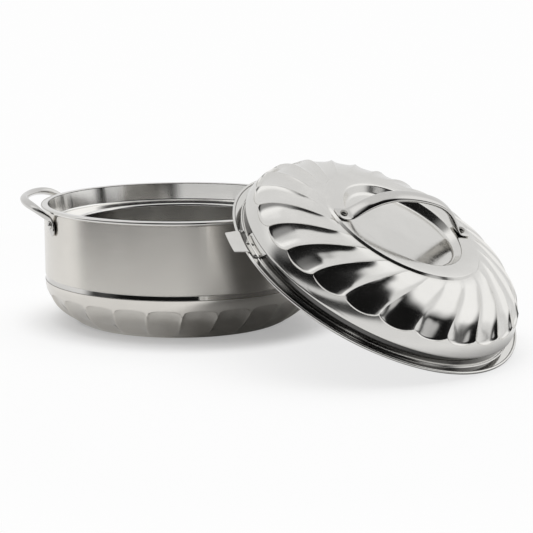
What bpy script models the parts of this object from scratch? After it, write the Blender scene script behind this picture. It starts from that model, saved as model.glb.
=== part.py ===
"""Insulated chapati casserole of stainless steel, with its lid off and leaning on the pot.

Units are metres, +Z is up, and the origin is the middle of the pot's base.
The pot's two handles stand at +X and -X. The lid leans on the +X handle and on the table.
"""

import math

import bmesh
import bpy
from mathutils import Matrix, Vector

MM = 0.001

# Sizes shared by every piece
CLEARANCE = 0.3 * MM
SHEET = 0.8 * MM
RING_STEPS = 64
HIDDEN_STEPS = 32
RIVET_STEPS = 12
SCOOP_STEPS = 4
SHARP_ANGLE = math.radians(22.0)
MERGE = 0.05 * MM
CUT_OVERRUN = 1.0 * MM

# Pot
POT_RADIUS = 150.0 * MM
POT_HEIGHT = 128.0 * MM
BAND_BOTTOM = 46.0 * MM
BAND_HEIGHT = 5.4 * MM
BAND_INSET = 0.7 * MM
FOOT_INSET = 35.0 * MM
FOOT_RADIUS = POT_RADIUS - FOOT_INSET
BASE_THICKNESS = 1.6 * MM
FOOT_LIP_WIDTH = 9.0 * MM
RIM_OVERHANG = 3.6 * MM
RIM_RADIUS = POT_RADIUS + RIM_OVERHANG
RIM_BEAD_HEIGHT = 4.0 * MM
RECESS_SETBACK = 3.8 * MM
RECESS_RADIUS = POT_RADIUS - RECESS_SETBACK
RECESS_DEPTH = 20.0 * MM
LEDGE_WIDTH = 31.2 * MM
WELL_RADIUS = RECESS_RADIUS - LEDGE_WIDTH
WELL_FLOOR = 14.0 * MM
WELL_CORNER = 12.0 * MM
WELL_LIP_RADIUS = 3.0 * MM

# Scoops pressed into the pot's lower bowl
BOWL_SCOOPS = 25
BOWL_SCOOP_DEPTH = 3.0 * MM
BOWL_SHOULDER = 10.6 * MM
BOWL_SCOOP_TOP = BAND_BOTTOM - BOWL_SHOULDER
BOWL_SCOOP_ARCH = 7.2 * MM
BOWL_SCOOP_CUSP = BOWL_SCOOP_TOP - BOWL_SCOOP_ARCH
BOWL_SCOOP_TURN = math.radians(-2.5)
BOWL_SCOOP_START = math.radians(-87.2)

# Pot handles
HANDLE_HALF_ANGLE = math.radians(27.5)
HANDLE_STAND_OUT = 26.0 * MM
HANDLE_REACH = POT_RADIUS + HANDLE_STAND_OUT
HANDLE_RISE = 9.0 * MM
HANDLE_TOP = POT_HEIGHT + HANDLE_RISE
HANDLE_BAR_WIDTH = 9.7 * MM
HANDLE_BAR_HEIGHT = 7.6 * MM
HANDLE_TAB_DROP = 27.5 * MM
HANDLE_TAB_TIP = POT_HEIGHT - HANDLE_TAB_DROP
HANDLE_TAB_WIDTH = 15.0 * MM
HANDLE_TAB_THICKNESS = 3.2 * MM
HANDLE_RIVET_SETBACK = 11.5 * MM
HANDLE_RIVET_HEIGHT = HANDLE_TAB_TIP + HANDLE_RIVET_SETBACK
HANDLE_RIVET_HEAD = 9.0 * MM
HANDLE_RIVET_CROWN = 3.0 * MM
HANDLE_RIVET_SHANK = 5.0 * MM
HANDLE_RIVET_TAIL = 8.0 * MM
HANDLE_RIVET_TAIL_THICKNESS = 1.3 * MM

# Lid, in its own frame: the origin is on the axis at the top of the flange
LID_OVERHANG = 4.4 * MM
LID_RADIUS = RIM_RADIUS + LID_OVERHANG
LID_BEAD = 1.5 * MM
LID_PLUG_FIT = 1.0 * MM
LID_PLUG_RADIUS = RECESS_RADIUS - LID_PLUG_FIT
LID_PLUG_DEPTH = 9.3 * MM
LID_PLUG_CORNER = 2.4 * MM
LID_COLLAR_GAP = 0.8 * MM
LID_COLLAR_RADIUS = LID_PLUG_RADIUS + LID_COLLAR_GAP + SHEET
LID_COLLAR_HEIGHT = 11.0 * MM
LID_COLLAR_LIP = 3.6 * MM
LID_RIDGE_HEIGHT = 0.8 * MM
SKIRT_OVERHANG = 3.0 * MM
SKIRT_RADIUS = LID_COLLAR_RADIUS + SKIRT_OVERHANG
SKIRT_LIFT = 1.6 * MM
SKIRT_BOTTOM = LID_COLLAR_HEIGHT + SKIRT_LIFT
SKIRT_HEM = 5.6 * MM
SKIRT_TAPER = 5.2 * MM
SCOOP_RADIUS = SKIRT_RADIUS - SKIRT_TAPER
SKIRT_HEIGHT = 17.0 * MM
SCOOP_HEIGHT = SKIRT_BOTTOM + SKIRT_HEIGHT
CROWN_WIDTH = 58.6 * MM
PLATEAU_RADIUS = SCOOP_RADIUS - CROWN_WIDTH
CROWN_RISE = 28.4 * MM
PLATEAU_HEIGHT = SCOOP_HEIGHT + CROWN_RISE
PLATEAU_STEP = 2.3 * MM
CROWN_START = math.radians(21.0)
CROWN_FULLNESS = 0.87
PLATEAU_WIDTH = 19.4 * MM
DISH_RADIUS = PLATEAU_RADIUS - PLATEAU_WIDTH
DISH_DEPTH = 8.0 * MM
DISH_WALL_RUN = 8.0 * MM

# Scoops pressed into the lid
LID_SCOOPS = 25
LID_SCOOP_DEPTH = 2.4 * MM
LID_SCOOP_ARCH = 5.0 * MM
LID_SCOOP_TURN = math.radians(24.0)
LID_SCOOP_START = math.radians(205.9)

# Lid handle
LID_HANDLE_RIVET_SETBACK = 8.9 * MM
LID_HANDLE_RIVET_RADIUS = DISH_RADIUS + LID_HANDLE_RIVET_SETBACK
LID_HANDLE_TOE = 8.5 * MM
LID_HANDLE_HALF_LENGTH = LID_HANDLE_RIVET_RADIUS + LID_HANDLE_TOE
LID_HANDLE_FOOT_LENGTH = 13.0 * MM
LID_HANDLE_RISE = 36.0 * MM
LID_HANDLE_WIDTH = 16.0 * MM
LID_HANDLE_THICKNESS = 6.0 * MM
LID_HANDLE_FOOT_THICKNESS = 2.2 * MM
LID_RIVET_HEAD = 7.6 * MM
LID_RIVET_CROWN = 2.8 * MM
LID_RIVET_SHANK = 4.0 * MM
LID_RIVET_TAIL = 7.0 * MM
LID_RIVET_TAIL_THICKNESS = 1.2 * MM

# Side brackets on the lid's flange
BRACKET_ANGLES = (math.radians(173.5), math.radians(-6.5))
BRACKET_HALF_ANGLE = math.radians(8.3)
BRACKET_LEG_HALF_ANGLE = math.radians(6.8)
BRACKET_LEG_SHIFT = math.radians(4.4)
BRACKET_TONGUE_REACH = 12.5 * MM
BRACKET_TONGUE_DROP = 4.0 * MM
BRACKET_RIVET_ANGLE = math.radians(7.2)
BRACKET_RIVET_HEAD = 3.8 * MM
BRACKET_RIVET_CROWN = 1.2 * MM
BRACKET_RIVET_SHANK = 2.2 * MM

# How the lid leans: its low edge is on the table, and the handle is set back from its high edge
LID_REST_SETBACK = 38.0 * MM
LID_REST_LENGTH = 2.0 * (LID_RADIUS - LID_BEAD) - LID_REST_SETBACK
LID_REST_RISE = HANDLE_TOP - LID_BEAD - CLEARANCE
LID_TILT = (math.atan2(LID_PLUG_DEPTH, LID_REST_LENGTH)
            + math.asin(LID_REST_RISE / math.hypot(LID_REST_LENGTH, LID_PLUG_DEPTH)))
LID_LEAN_DIRECTION = math.radians(-36.42)
LID_SPIN = math.radians(67.6)
LID_SIDE_OFFSET = -17.5 * MM

# Insulation
FOAM_EDGE_GAP = 1.0 * MM

STEEL = (0.62, 0.61, 0.59, 1.0)
DARK_STEEL = (0.42, 0.41, 0.40, 1.0)
FOAM = (0.82, 0.76, 0.55, 1.0)


def clear_scene():
    for item in list(bpy.data.objects):
        bpy.data.objects.remove(item, do_unlink=True)


def new_collection(name):
    collection = bpy.data.collections.new(name)
    bpy.context.scene.collection.children.link(collection)
    return collection


clear_scene()
PARTS = new_collection("chapati_casserole")
CUTTERS = new_collection("cutters")


def steel_finish(name, colour, roughness, metallic=1.0):
    material = bpy.data.materials.new(name)
    material.use_nodes = True
    shader = material.node_tree.nodes["Principled BSDF"]
    shader.inputs["Base Color"].default_value = colour
    shader.inputs["Roughness"].default_value = roughness
    shader.inputs["Metallic"].default_value = metallic
    return material


def add_mesh(name, mesh, material):
    item = bpy.data.objects.new(name, mesh)
    PARTS.objects.link(item)
    mesh.materials.append(material)
    mesh.shade_smooth()
    mesh.set_sharp_from_angle(angle=SHARP_ANGLE)
    return item


def turned_mesh(name, profile, steps, closed):
    """Mesh of a profile of (radius, height) points turned once about Z."""
    outline = bpy.data.meshes.new(name + "_profile")
    points = [(radius, 0.0, height) for radius, height in profile]
    edges = [(i, i + 1) for i in range(len(points) - 1)]
    if closed:
        edges.append((len(points) - 1, 0))
    outline.from_pydata(points, edges, [])
    item = bpy.data.objects.new(name + "_profile", outline)
    bpy.context.scene.collection.objects.link(item)
    screw = item.modifiers.new("Turn", "SCREW")
    screw.angle = math.tau
    screw.steps = steps
    screw.render_steps = steps
    screw.use_merge_vertices = True
    screw.merge_threshold = MERGE
    mesh = evaluated_mesh(item)
    mesh.name = name
    bpy.data.objects.remove(item, do_unlink=True)
    return mesh


def evaluated_mesh(item):
    bpy.context.view_layer.update()
    graph = bpy.context.evaluated_depsgraph_get()
    return bpy.data.meshes.new_from_object(item.evaluated_get(graph))


def turned_solid(name, profile, material, steps=RING_STEPS, closed=True):
    """Closed piece: a ring when the profile is a loop, or a disc when it starts and ends at the axis."""
    return add_mesh(name, turned_mesh(name, profile, steps, closed), material)


def turned_shell(name, profile, material, side=-1.0):
    """Sheet on one side of a profile that runs downwards: -1 is towards the axis and 1 away from it."""
    item = add_mesh(name, turned_mesh(name, profile, RING_STEPS, False), material)
    thicken(item, side)
    return item


def thicken(item, side):
    solid = item.modifiers.new("Sheet", "SOLIDIFY")
    solid.thickness = SHEET
    solid.offset = side
    solid.use_even_offset = True
    solid.use_quality_normals = True


def wrapped_sheet(name, rows, columns, place, material, full_circle=True):
    """Sheet from a grid: place(row, turn) gives each point, rows counted from the outer edge inwards."""
    bm = bmesh.new()
    bmesh.ops.create_grid(bm, x_segments=columns, y_segments=rows - 1, size=1.0)
    for vertex in bm.verts:
        turn = (vertex.co.x + 1.0) / 2.0
        row = round((vertex.co.y + 1.0) / 2.0 * (rows - 1))
        vertex.co = place(row, turn)
    if full_circle:
        bmesh.ops.remove_doubles(bm, verts=bm.verts, dist=MERGE)
    mesh = bpy.data.meshes.new(name)
    bm.to_mesh(mesh)
    bm.free()
    item = add_mesh(name, mesh, material)
    thicken(item, -1.0)
    return item


def polar(radius, angle, height):
    return Vector((radius * math.cos(angle), radius * math.sin(angle), height))


def drill(item, position, direction, diameter, length):
    """Round hole through a piece, centred on position and along direction."""
    bm = bmesh.new()
    bmesh.ops.create_cone(bm, cap_ends=True, segments=RIVET_STEPS, radius1=diameter / 2.0,
                          radius2=diameter / 2.0, depth=length)
    mesh = bpy.data.meshes.new(item.name + "_hole")
    bm.to_mesh(mesh)
    bm.free()
    cutter = bpy.data.objects.new(item.name + "_hole", mesh)
    CUTTERS.objects.link(cutter)
    turn = direction.to_track_quat("Z", "Y").to_matrix().to_4x4()
    cutter.matrix_world = Matrix.Translation(position) @ turn
    cutter.hide_render = True
    cutter.display_type = "WIRE"
    cutter.parent = item.parent
    cut = item.modifiers.new("Hole", "BOOLEAN")
    cut.operation = "DIFFERENCE"
    cut.object = cutter
    return cutter


def section_points(section, sides=12, fullness=2.6):
    """Rounded outline of a section of (centre, width direction, thickness direction, width, thickness)."""
    centre, wide, thin, width, thickness = section
    points = []
    for step in range(sides):
        angle = math.tau * (step + 0.5) / sides
        across = math.copysign(abs(math.cos(angle)) ** (2.0 / fullness), math.cos(angle))
        through = math.copysign(abs(math.sin(angle)) ** (2.0 / fullness), math.sin(angle))
        points.append(centre + wide * (across * width / 2.0) + thin * (through * thickness / 2.0))
    return points


def lofted_bar(name, sections, material):
    """Bar skinned over its sections, with flat ends."""
    bm = bmesh.new()
    rings = [[bm.verts.new(point) for point in section_points(section)] for section in sections]
    for ring, following in zip(rings, rings[1:]):
        for step in range(len(ring)):
            after = (step + 1) % len(ring)
            bm.faces.new((ring[step], ring[after], following[after], following[step]))
    bm.faces.new(list(reversed(rings[0])))
    bm.faces.new(rings[-1])
    bmesh.ops.recalc_face_normals(bm, faces=bm.faces)
    mesh = bpy.data.meshes.new(name)
    bm.to_mesh(mesh)
    bm.free()
    return add_mesh(name, mesh, material)


def rivet_mesh(name, head, crown, shank, grip, tail, tail_thickness):
    """Domed rivet along Z: the head's flat is at z = 0 and the shank goes down through the grip."""
    arc_steps = 4
    profile = []
    for step in range(arc_steps + 1):
        angle = math.pi / 2.0 * step / arc_steps
        profile.append((head / 2.0 * math.sin(angle), crown * math.cos(angle)))
    profile[0] = (0.0, crown)
    profile.append((shank / 2.0, 0.0))
    profile.append((shank / 2.0, -grip))
    if tail > 0.0:
        profile.append((tail / 2.0, -grip))
        profile.append((tail / 2.0, -grip - tail_thickness))
    profile.append((0.0, -grip - tail_thickness))
    return turned_mesh(name, profile, RIVET_STEPS, False)


def bowl_radius(height):
    """Outer radius of the lower bowl at a height, before the scoops."""
    fall_share = 1.0 - height / BAND_BOTTOM
    roundness = 2.4
    return FOOT_RADIUS + (POT_RADIUS - FOOT_RADIUS) * (1.0 - fall_share ** roundness)


def bowl_normal(height):
    """Outward normal of the bowl's side as (radial, vertical) parts."""
    step = SHEET / 2.0
    low = max(height - step, 0.0)
    run = bowl_radius(height + step) - bowl_radius(low)
    climb = height + step - low
    length = math.hypot(run, climb)
    return climb / length, -run / length


def scoop_share(phase):
    """Depth across one scoop: 0 on its ridges and 1 in its middle, with phase counted in scoops."""
    across = 2.0 * (phase - math.floor(phase)) - 1.0
    return 1.0 - across * across


def pot_side_wall(material):
    bottom = BAND_BOTTOM + BAND_HEIGHT + CLEARANCE
    top = POT_HEIGHT - RIM_BEAD_HEIGHT - CLEARANCE
    profile = [(POT_RADIUS, top), (POT_RADIUS, bottom)]
    return turned_shell("outer_wall", profile, material)


def pot_accent_band(material):
    outer = POT_RADIUS - BAND_INSET
    top = BAND_BOTTOM + BAND_HEIGHT
    bottom = BAND_BOTTOM + CLEARANCE
    return turned_shell("accent_band", [(outer, top), (outer, bottom)], material)


def pot_fluted_bowl(material):
    """Lower bowl with its ring of scoops, ending in a lip that lies on the base plate."""
    foot = BASE_THICKNESS + CLEARANCE
    below_arch_shares = (0.0, 0.3, 0.65, 1.0)
    depth_shares = (0.75, 1.0, 0.85, 0.0)
    columns = BOWL_SCOOPS * SCOOP_STEPS
    rows = len(below_arch_shares) + 3

    def place(row, turn):
        angle = BOWL_SCOOP_START + math.tau * turn
        scoop = scoop_share(turn * BOWL_SCOOPS)
        if row == 0:
            return polar(bowl_radius(BAND_BOTTOM), angle, BAND_BOTTOM)
        arch = BOWL_SCOOP_CUSP + (BOWL_SCOOP_TOP - BOWL_SCOOP_CUSP) * math.sqrt(scoop)
        if row == rows - 1:
            return polar(bowl_radius(foot) - FOOT_LIP_WIDTH, angle + BOWL_SCOOP_TURN, foot)
        if row == 1:
            return polar(bowl_radius(arch), angle, arch)
        share = below_arch_shares[row - 2]
        start = arch - BOWL_SCOOP_DEPTH
        height = start + (foot - start) * share
        depth = BOWL_SCOOP_DEPTH * depth_shares[row - 2] * scoop
        radial, vertical = bowl_normal(height)
        turned = angle + BOWL_SCOOP_TURN * share
        return polar(bowl_radius(height) - depth * radial, turned, height - depth * vertical)

    def place_upwards(row, turn):
        return place(rows - 1 - row, turn)

    return wrapped_sheet("fluted_bowl", rows, columns, place_upwards, material)


def pot_base_plate(material):
    bevel = BASE_THICKNESS / 4.0
    profile = [(0.0, BASE_THICKNESS), (FOOT_RADIUS - bevel, BASE_THICKNESS),
               (FOOT_RADIUS, BASE_THICKNESS - bevel), (FOOT_RADIUS, bevel),
               (FOOT_RADIUS - bevel, 0.0), (0.0, 0.0)]
    return turned_solid("base_plate", profile, material, closed=False)


def pot_rim_ring(material):
    """Flat polished rim with a rolled bead round its outer edge."""
    bottom = POT_HEIGHT - RIM_BEAD_HEIGHT
    seat = POT_RADIUS - 2.0 * SHEET
    roll = RIM_BEAD_HEIGHT / 2.0
    middle = RIM_RADIUS - roll
    profile = [(RECESS_RADIUS - CLEARANCE, POT_HEIGHT - SHEET / 2.0), (RECESS_RADIUS, POT_HEIGHT)]
    arc_steps = 4
    for step in range(arc_steps + 1):
        angle = math.pi / 2.0 - math.pi * step / arc_steps
        profile.append((middle + roll * math.cos(angle), bottom + roll + roll * math.sin(angle)))
    profile += [(seat, bottom), (seat, POT_HEIGHT - SHEET), (RECESS_RADIUS - CLEARANCE, POT_HEIGHT - SHEET)]
    return turned_solid("rim_ring", profile, material)


def liner_profile(offset=0.0):
    """Inner face of the liner as (radius, height) from the rim to the axis, set back by offset."""
    ledge = POT_HEIGHT - RECESS_DEPTH - offset
    recess = RECESS_RADIUS + offset
    well = WELL_RADIUS + offset
    floor = WELL_FLOOR - offset
    lip = WELL_LIP_RADIUS
    corner = WELL_CORNER + offset
    half = 1.0 - math.sqrt(0.5)
    top = POT_HEIGHT - SHEET - CLEARANCE
    return [(recess, top), (recess, ledge), (well + lip, ledge), (well + lip * half, ledge - lip * half),
            (well, ledge - lip), (well, floor + corner), (well - corner * half, floor + corner * half),
            (well - corner, floor), (0.0, floor)]


def pot_liner(material):
    """Inner bowl: the recess that takes the lid, its ledge, and the well below."""
    return turned_shell("inner_liner", liner_profile(), material, side=1.0)


def pot_foam(material):
    """Moulded insulation that fills the space between the two skins."""
    gap = SHEET + FOAM_EDGE_GAP
    inner = liner_profile(gap)
    top = POT_HEIGHT - RECESS_DEPTH - gap
    outer = POT_RADIUS - BAND_INSET - SHEET - FOAM_EDGE_GAP
    bottom = BASE_THICKNESS + SHEET + 2.0 * CLEARANCE
    scoop_room = BOWL_SCOOP_DEPTH + SHEET + FOAM_EDGE_GAP
    side_shares = (0.75, 0.45, 0.2)
    profile = list(reversed(inner[2:]))
    profile += [(outer, top), (outer, BAND_BOTTOM)]
    for share in side_shares:
        height = BAND_BOTTOM * share
        radial, vertical = bowl_normal(height)
        profile.append((bowl_radius(height) - scoop_room * radial, height - scoop_room * vertical))
    profile += [(FOOT_RADIUS - scoop_room, bottom), (0.0, bottom)]
    return turned_solid("pot_insulation", profile, material, steps=HIDDEN_STEPS, closed=False)


def blend(start, end, share):
    return start + (end - start) * share


def handle_stations():
    """Half of a pot handle as (angle, radius, height, width, thickness), from its tab's tip to its bar."""
    # Angle, rise, width and thickness, the last two as shares of the tab's own
    tab_shares = (
        (1.055, 0.00, 0.30, 0.55),
        (1.050, 0.05, 0.66, 0.85),
        (1.035, 0.16, 0.94, 1.00),
        (1.000, 0.35, 1.00, 1.00),
    )
    # Angle, reach, rise, then how far width and thickness have gone from the tab's to the bar's
    arm_shares = (
        (0.985, 0.00, 0.51, 0.37, 0.00),
        (0.960, 0.20, 0.62, 0.77, 0.25),
        (0.915, 0.47, 0.76, 0.95, 0.54),
        (0.830, 0.66, 0.87, 0.99, 0.79),
        (0.700, 0.82, 0.94, 1.00, 0.94),
        (0.520, 0.94, 0.98, 1.00, 1.00),
        (0.270, 1.00, 1.00, 1.00, 1.00),
    )
    tab_radius = POT_RADIUS + CLEARANCE + HANDLE_TAB_THICKNESS / 2.0
    bar_radius = HANDLE_REACH - HANDLE_BAR_WIDTH / 2.0
    bar_height = HANDLE_TOP - HANDLE_BAR_HEIGHT / 2.0
    stations = []
    for angle_share, rise_share, width_share, thickness_share in tab_shares:
        stations.append((HANDLE_HALF_ANGLE * angle_share, tab_radius,
                         blend(HANDLE_TAB_TIP, bar_height, rise_share),
                         HANDLE_TAB_WIDTH * width_share, HANDLE_TAB_THICKNESS * thickness_share))
    for angle_share, reach_share, rise_share, width_share, thickness_share in arm_shares:
        stations.append((HANDLE_HALF_ANGLE * angle_share,
                         blend(tab_radius, bar_radius, reach_share),
                         blend(HANDLE_TAB_TIP, bar_height, rise_share),
                         blend(HANDLE_TAB_WIDTH, HANDLE_BAR_HEIGHT, width_share),
                         blend(HANDLE_TAB_THICKNESS, HANDLE_BAR_WIDTH, thickness_share)))
    return stations


def handle_path():
    """Whole handle as (centre, width, thickness), from the tab at +Y to the tab at -Y."""
    bar = Vector((HANDLE_REACH - HANDLE_BAR_WIDTH / 2.0, 0.0, HANDLE_TOP - HANDLE_BAR_HEIGHT / 2.0))
    half = [(polar(radius, angle, height), width, thickness)
            for angle, radius, height, width, thickness in handle_stations()]
    mirror = [(Vector((centre.x, -centre.y, centre.z)), width, thickness)
              for centre, width, thickness in half]
    return half + [(bar, HANDLE_BAR_HEIGHT, HANDLE_BAR_WIDTH)] + list(reversed(mirror))


def handle_sections():
    """Handle stations with their directions: the thickness faces out from the pot's side."""
    path = handle_path()
    sections = []
    for index, (centre, width, thickness) in enumerate(path):
        before = path[max(index - 1, 0)][0]
        after = path[min(index + 1, len(path) - 1)][0]
        along = (after - before).normalized()
        tab_angle = math.copysign(HANDLE_HALF_ANGLE, centre.y)
        tab_share = min(abs(math.atan2(centre.y, centre.x)) / HANDLE_HALF_ANGLE, 1.0)
        outward = polar(1.0, tab_angle * tab_share, 0.0)
        wide = along.cross(outward).normalized()
        thin = wide.cross(along).normalized()
        sections.append((centre, wide, thin, width, thickness))
    return sections


def pot_handle(name, turn, material):
    item = lofted_bar(name, handle_sections(), material)
    item.rotation_euler = (0.0, 0.0, turn)
    return item


def handle_rivets(side, turn, handle, wall, material):
    """Two domed rivets of one handle, with their holes in its tabs and in the pot's wall."""
    seat = POT_RADIUS + HANDLE_TAB_THICKNESS + 2.0 * CLEARANCE
    grip = seat - (POT_RADIUS - SHEET - CLEARANCE)
    for place, sign in (("front", -1.0), ("back", 1.0)):
        angle = turn + sign * math.cos(turn) * HANDLE_HALF_ANGLE
        name = side + "_handle_rivet_" + place
        mesh = rivet_mesh(name, HANDLE_RIVET_HEAD, HANDLE_RIVET_CROWN, HANDLE_RIVET_SHANK, grip,
                          HANDLE_RIVET_TAIL, HANDLE_RIVET_TAIL_THICKNESS)
        rivet = add_mesh(name, mesh, material)
        outward = polar(1.0, angle, 0.0)
        position = polar(seat, angle, HANDLE_RIVET_HEIGHT)
        rivet.rotation_mode = "QUATERNION"
        rivet.rotation_quaternion = outward.to_track_quat("Z", "Y")
        rivet.location = position
        hole = HANDLE_RIVET_SHANK + 2.0 * CLEARANCE
        length = 2.0 * (grip + CUT_OVERRUN)
        drill(wall, position, outward, hole, length)
        drill(handle, position, outward, hole, length)


def lid_support_height():
    """How far the pot reaches along the leaning lid's axis, at its +X handle or at its rim."""
    axis = lid_axis()
    handle = max(point.dot(axis) for section in handle_sections() for point in section_points(section))
    roll = RIM_BEAD_HEIGHT / 2.0
    bead = polar(RIM_RADIUS - roll, LID_LEAN_DIRECTION, POT_HEIGHT - roll)
    return max(handle, bead.dot(axis) + roll)


def lid_axis():
    return Vector((math.sin(LID_TILT) * math.cos(LID_LEAN_DIRECTION),
                   math.sin(LID_TILT) * math.sin(LID_LEAN_DIRECTION), math.cos(LID_TILT)))


def lid_frame():
    """Empty that carries the lid: its edge stands on the table and its underside lies on the handle."""
    height = (LID_RADIUS - LID_BEAD) * math.sin(LID_TILT) + LID_BEAD + CLEARANCE
    support = lid_support_height() + LID_PLUG_DEPTH + CLEARANCE
    along = (support - height * math.cos(LID_TILT)) / math.sin(LID_TILT)
    lean = polar(along, LID_LEAN_DIRECTION, 0.0)
    side = polar(LID_SIDE_OFFSET, LID_LEAN_DIRECTION + math.pi / 2.0, height)
    frame = bpy.data.objects.new("lid_frame", None)
    PARTS.objects.link(frame)
    turn = (Matrix.Rotation(LID_LEAN_DIRECTION, 4, "Z") @ Matrix.Rotation(LID_TILT, 4, "Y")
            @ Matrix.Rotation(LID_SPIN, 4, "Z"))
    frame.matrix_world = Matrix.Translation(lean + side) @ turn
    return frame


def crown_point(share):
    """Point of the lid's crown before its scoops, from the scoops' lower ends (0) to the plateau (1)."""
    start = CROWN_START
    swing = start + share * (math.pi / 2.0 - start)
    run_share = ((math.cos(start) - math.cos(swing)) / math.cos(start)) ** CROWN_FULLNESS
    rise_share = (math.sin(swing) - math.sin(start)) / (1.0 - math.sin(start))
    top = PLATEAU_HEIGHT - PLATEAU_STEP
    return (SCOOP_RADIUS + (PLATEAU_RADIUS - SCOOP_RADIUS) * run_share,
            SCOOP_HEIGHT + (top - SCOOP_HEIGHT) * rise_share)


def crown_normal(share):
    step = 0.01
    low = max(share - step, 0.0)
    high = min(share + step, 1.0)
    r0, z0 = crown_point(low)
    r1, z1 = crown_point(high)
    length = math.hypot(r1 - r0, z1 - z0)
    return (z1 - z0) / length, (r0 - r1) / length


def lid_dome(material):
    """Upper skin of the lid: dish, plateau, turning scoops and the plain skirt with its hem."""
    crown_shares = (0.0, 0.12, 0.34, 0.58, 0.82, 1.0)
    depth_shares = (0.0, 0.90, 1.0, 0.80, 0.40, 0.0)
    hem_height = LID_COLLAR_HEIGHT + CLEARANCE
    skirt = [(SKIRT_RADIUS - SKIRT_HEM, hem_height), (SKIRT_RADIUS - SHEET, hem_height),
             (SKIRT_RADIUS, SKIRT_BOTTOM), (SKIRT_RADIUS - SHEET, SKIRT_BOTTOM + LID_SCOOP_ARCH)]
    plateau = [(PLATEAU_RADIUS - PLATEAU_STEP, PLATEAU_HEIGHT),
               (DISH_RADIUS, PLATEAU_HEIGHT),
               (DISH_RADIUS - DISH_WALL_RUN / 4.0, PLATEAU_HEIGHT - DISH_DEPTH / 2.0),
               (DISH_RADIUS - DISH_WALL_RUN, PLATEAU_HEIGHT - DISH_DEPTH),
               (0.0, PLATEAU_HEIGHT - DISH_DEPTH)]
    rows = len(skirt) + len(crown_shares) + len(plateau)
    columns = LID_SCOOPS * SCOOP_STEPS
    arch_fade = 3.0
    turn_fade = 1.6

    def place(row, turn):
        angle = LID_SCOOP_START + math.tau * turn
        scoop = scoop_share(turn * LID_SCOOPS)
        if row < len(skirt):
            radius, height = skirt[row]
            return polar(radius, angle, height)
        if row < len(skirt) + len(crown_shares):
            share = crown_shares[row - len(skirt)]
            radius, height = crown_point(share)
            radial, vertical = crown_normal(share)
            depth = LID_SCOOP_DEPTH * depth_shares[row - len(skirt)] * scoop
            arch = LID_SCOOP_ARCH * scoop * (1.0 - share) ** arch_fade
            turned = angle + LID_SCOOP_TURN * share ** turn_fade
            return polar(radius - depth * radial + arch * vertical, turned,
                         height - depth * vertical - arch * radial)
        radius, height = plateau[row - len(skirt) - len(crown_shares)]
        return polar(radius, angle + LID_SCOOP_TURN, height)

    return wrapped_sheet("lid_dome", rows, columns, place, material)


def lid_flange(material):
    """Rolled edge, flat flange and upright collar of the lid's lower pan."""
    bead_centre = LID_RADIUS - LID_BEAD
    ridge_in = LID_COLLAR_RADIUS + SHEET
    ridge_out = ridge_in + 2.0 * SHEET
    profile = [(LID_COLLAR_RADIUS - LID_COLLAR_LIP, LID_COLLAR_HEIGHT),
               (LID_COLLAR_RADIUS - SHEET, LID_COLLAR_HEIGHT),
               (LID_COLLAR_RADIUS, LID_COLLAR_HEIGHT - SHEET),
               (LID_COLLAR_RADIUS, LID_RIDGE_HEIGHT), (ridge_in, 0.0), (ridge_out, 0.0),
               (bead_centre - LID_BEAD, 0.0)]
    arc_steps = 5
    arc_half_angle = math.radians(130.0)
    for step in range(arc_steps):
        angle = arc_half_angle * (1.0 - 2.0 * step / (arc_steps - 1))
        profile.append((bead_centre + LID_BEAD * math.cos(angle), LID_BEAD * math.sin(angle)))
    profile += [(bead_centre - LID_BEAD, -SHEET), (LID_COLLAR_RADIUS - SHEET, -SHEET),
                (LID_COLLAR_RADIUS - SHEET, LID_COLLAR_HEIGHT - SHEET),
                (LID_COLLAR_RADIUS - LID_COLLAR_LIP, LID_COLLAR_HEIGHT - SHEET)]
    return turned_solid("lid_flange", profile, material)


def lid_inner_plate(material):
    """Pan that closes the lid's underside and drops into the pot's recess."""
    top = LID_COLLAR_HEIGHT - SHEET - CLEARANCE
    corner = LID_PLUG_CORNER
    bottom = -LID_PLUG_DEPTH
    profile = [(LID_PLUG_RADIUS, top), (LID_PLUG_RADIUS, bottom + corner),
               (LID_PLUG_RADIUS - corner, bottom), (0.0, bottom)]
    return turned_shell("lid_inner_plate", profile, material)


def lid_foam(material):
    """Insulation between the lid's dome and its inner plate, set back from the rivets' tails."""
    gap = SHEET + FOAM_EDGE_GAP
    depth = LID_SCOOP_DEPTH + gap
    crown_shares = (0.12, 0.4, 0.7)
    edge = LID_PLUG_RADIUS - SHEET - CLEARANCE
    bottom = -LID_PLUG_DEPTH + SHEET + CLEARANCE
    dish_top = PLATEAU_HEIGHT - DISH_DEPTH - gap
    profile = [(0.0, dish_top), (PLATEAU_RADIUS, dish_top)]
    for share in reversed(crown_shares):
        radius, height = crown_point(share)
        radial, vertical = crown_normal(share)
        profile.append((radius - depth * radial, height - depth * vertical))
    shoulder = SCOOP_HEIGHT / 2.0
    profile += [(SCOOP_RADIUS - depth, shoulder), (edge - LID_COLLAR_LIP, LID_COLLAR_HEIGHT - SHEET),
                (edge - LID_COLLAR_LIP, bottom + LID_PLUG_CORNER),
                (edge - LID_COLLAR_LIP - LID_PLUG_CORNER, bottom), (0.0, bottom)]
    return turned_solid("lid_insulation", profile, material, steps=HIDDEN_STEPS, closed=False)


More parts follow.
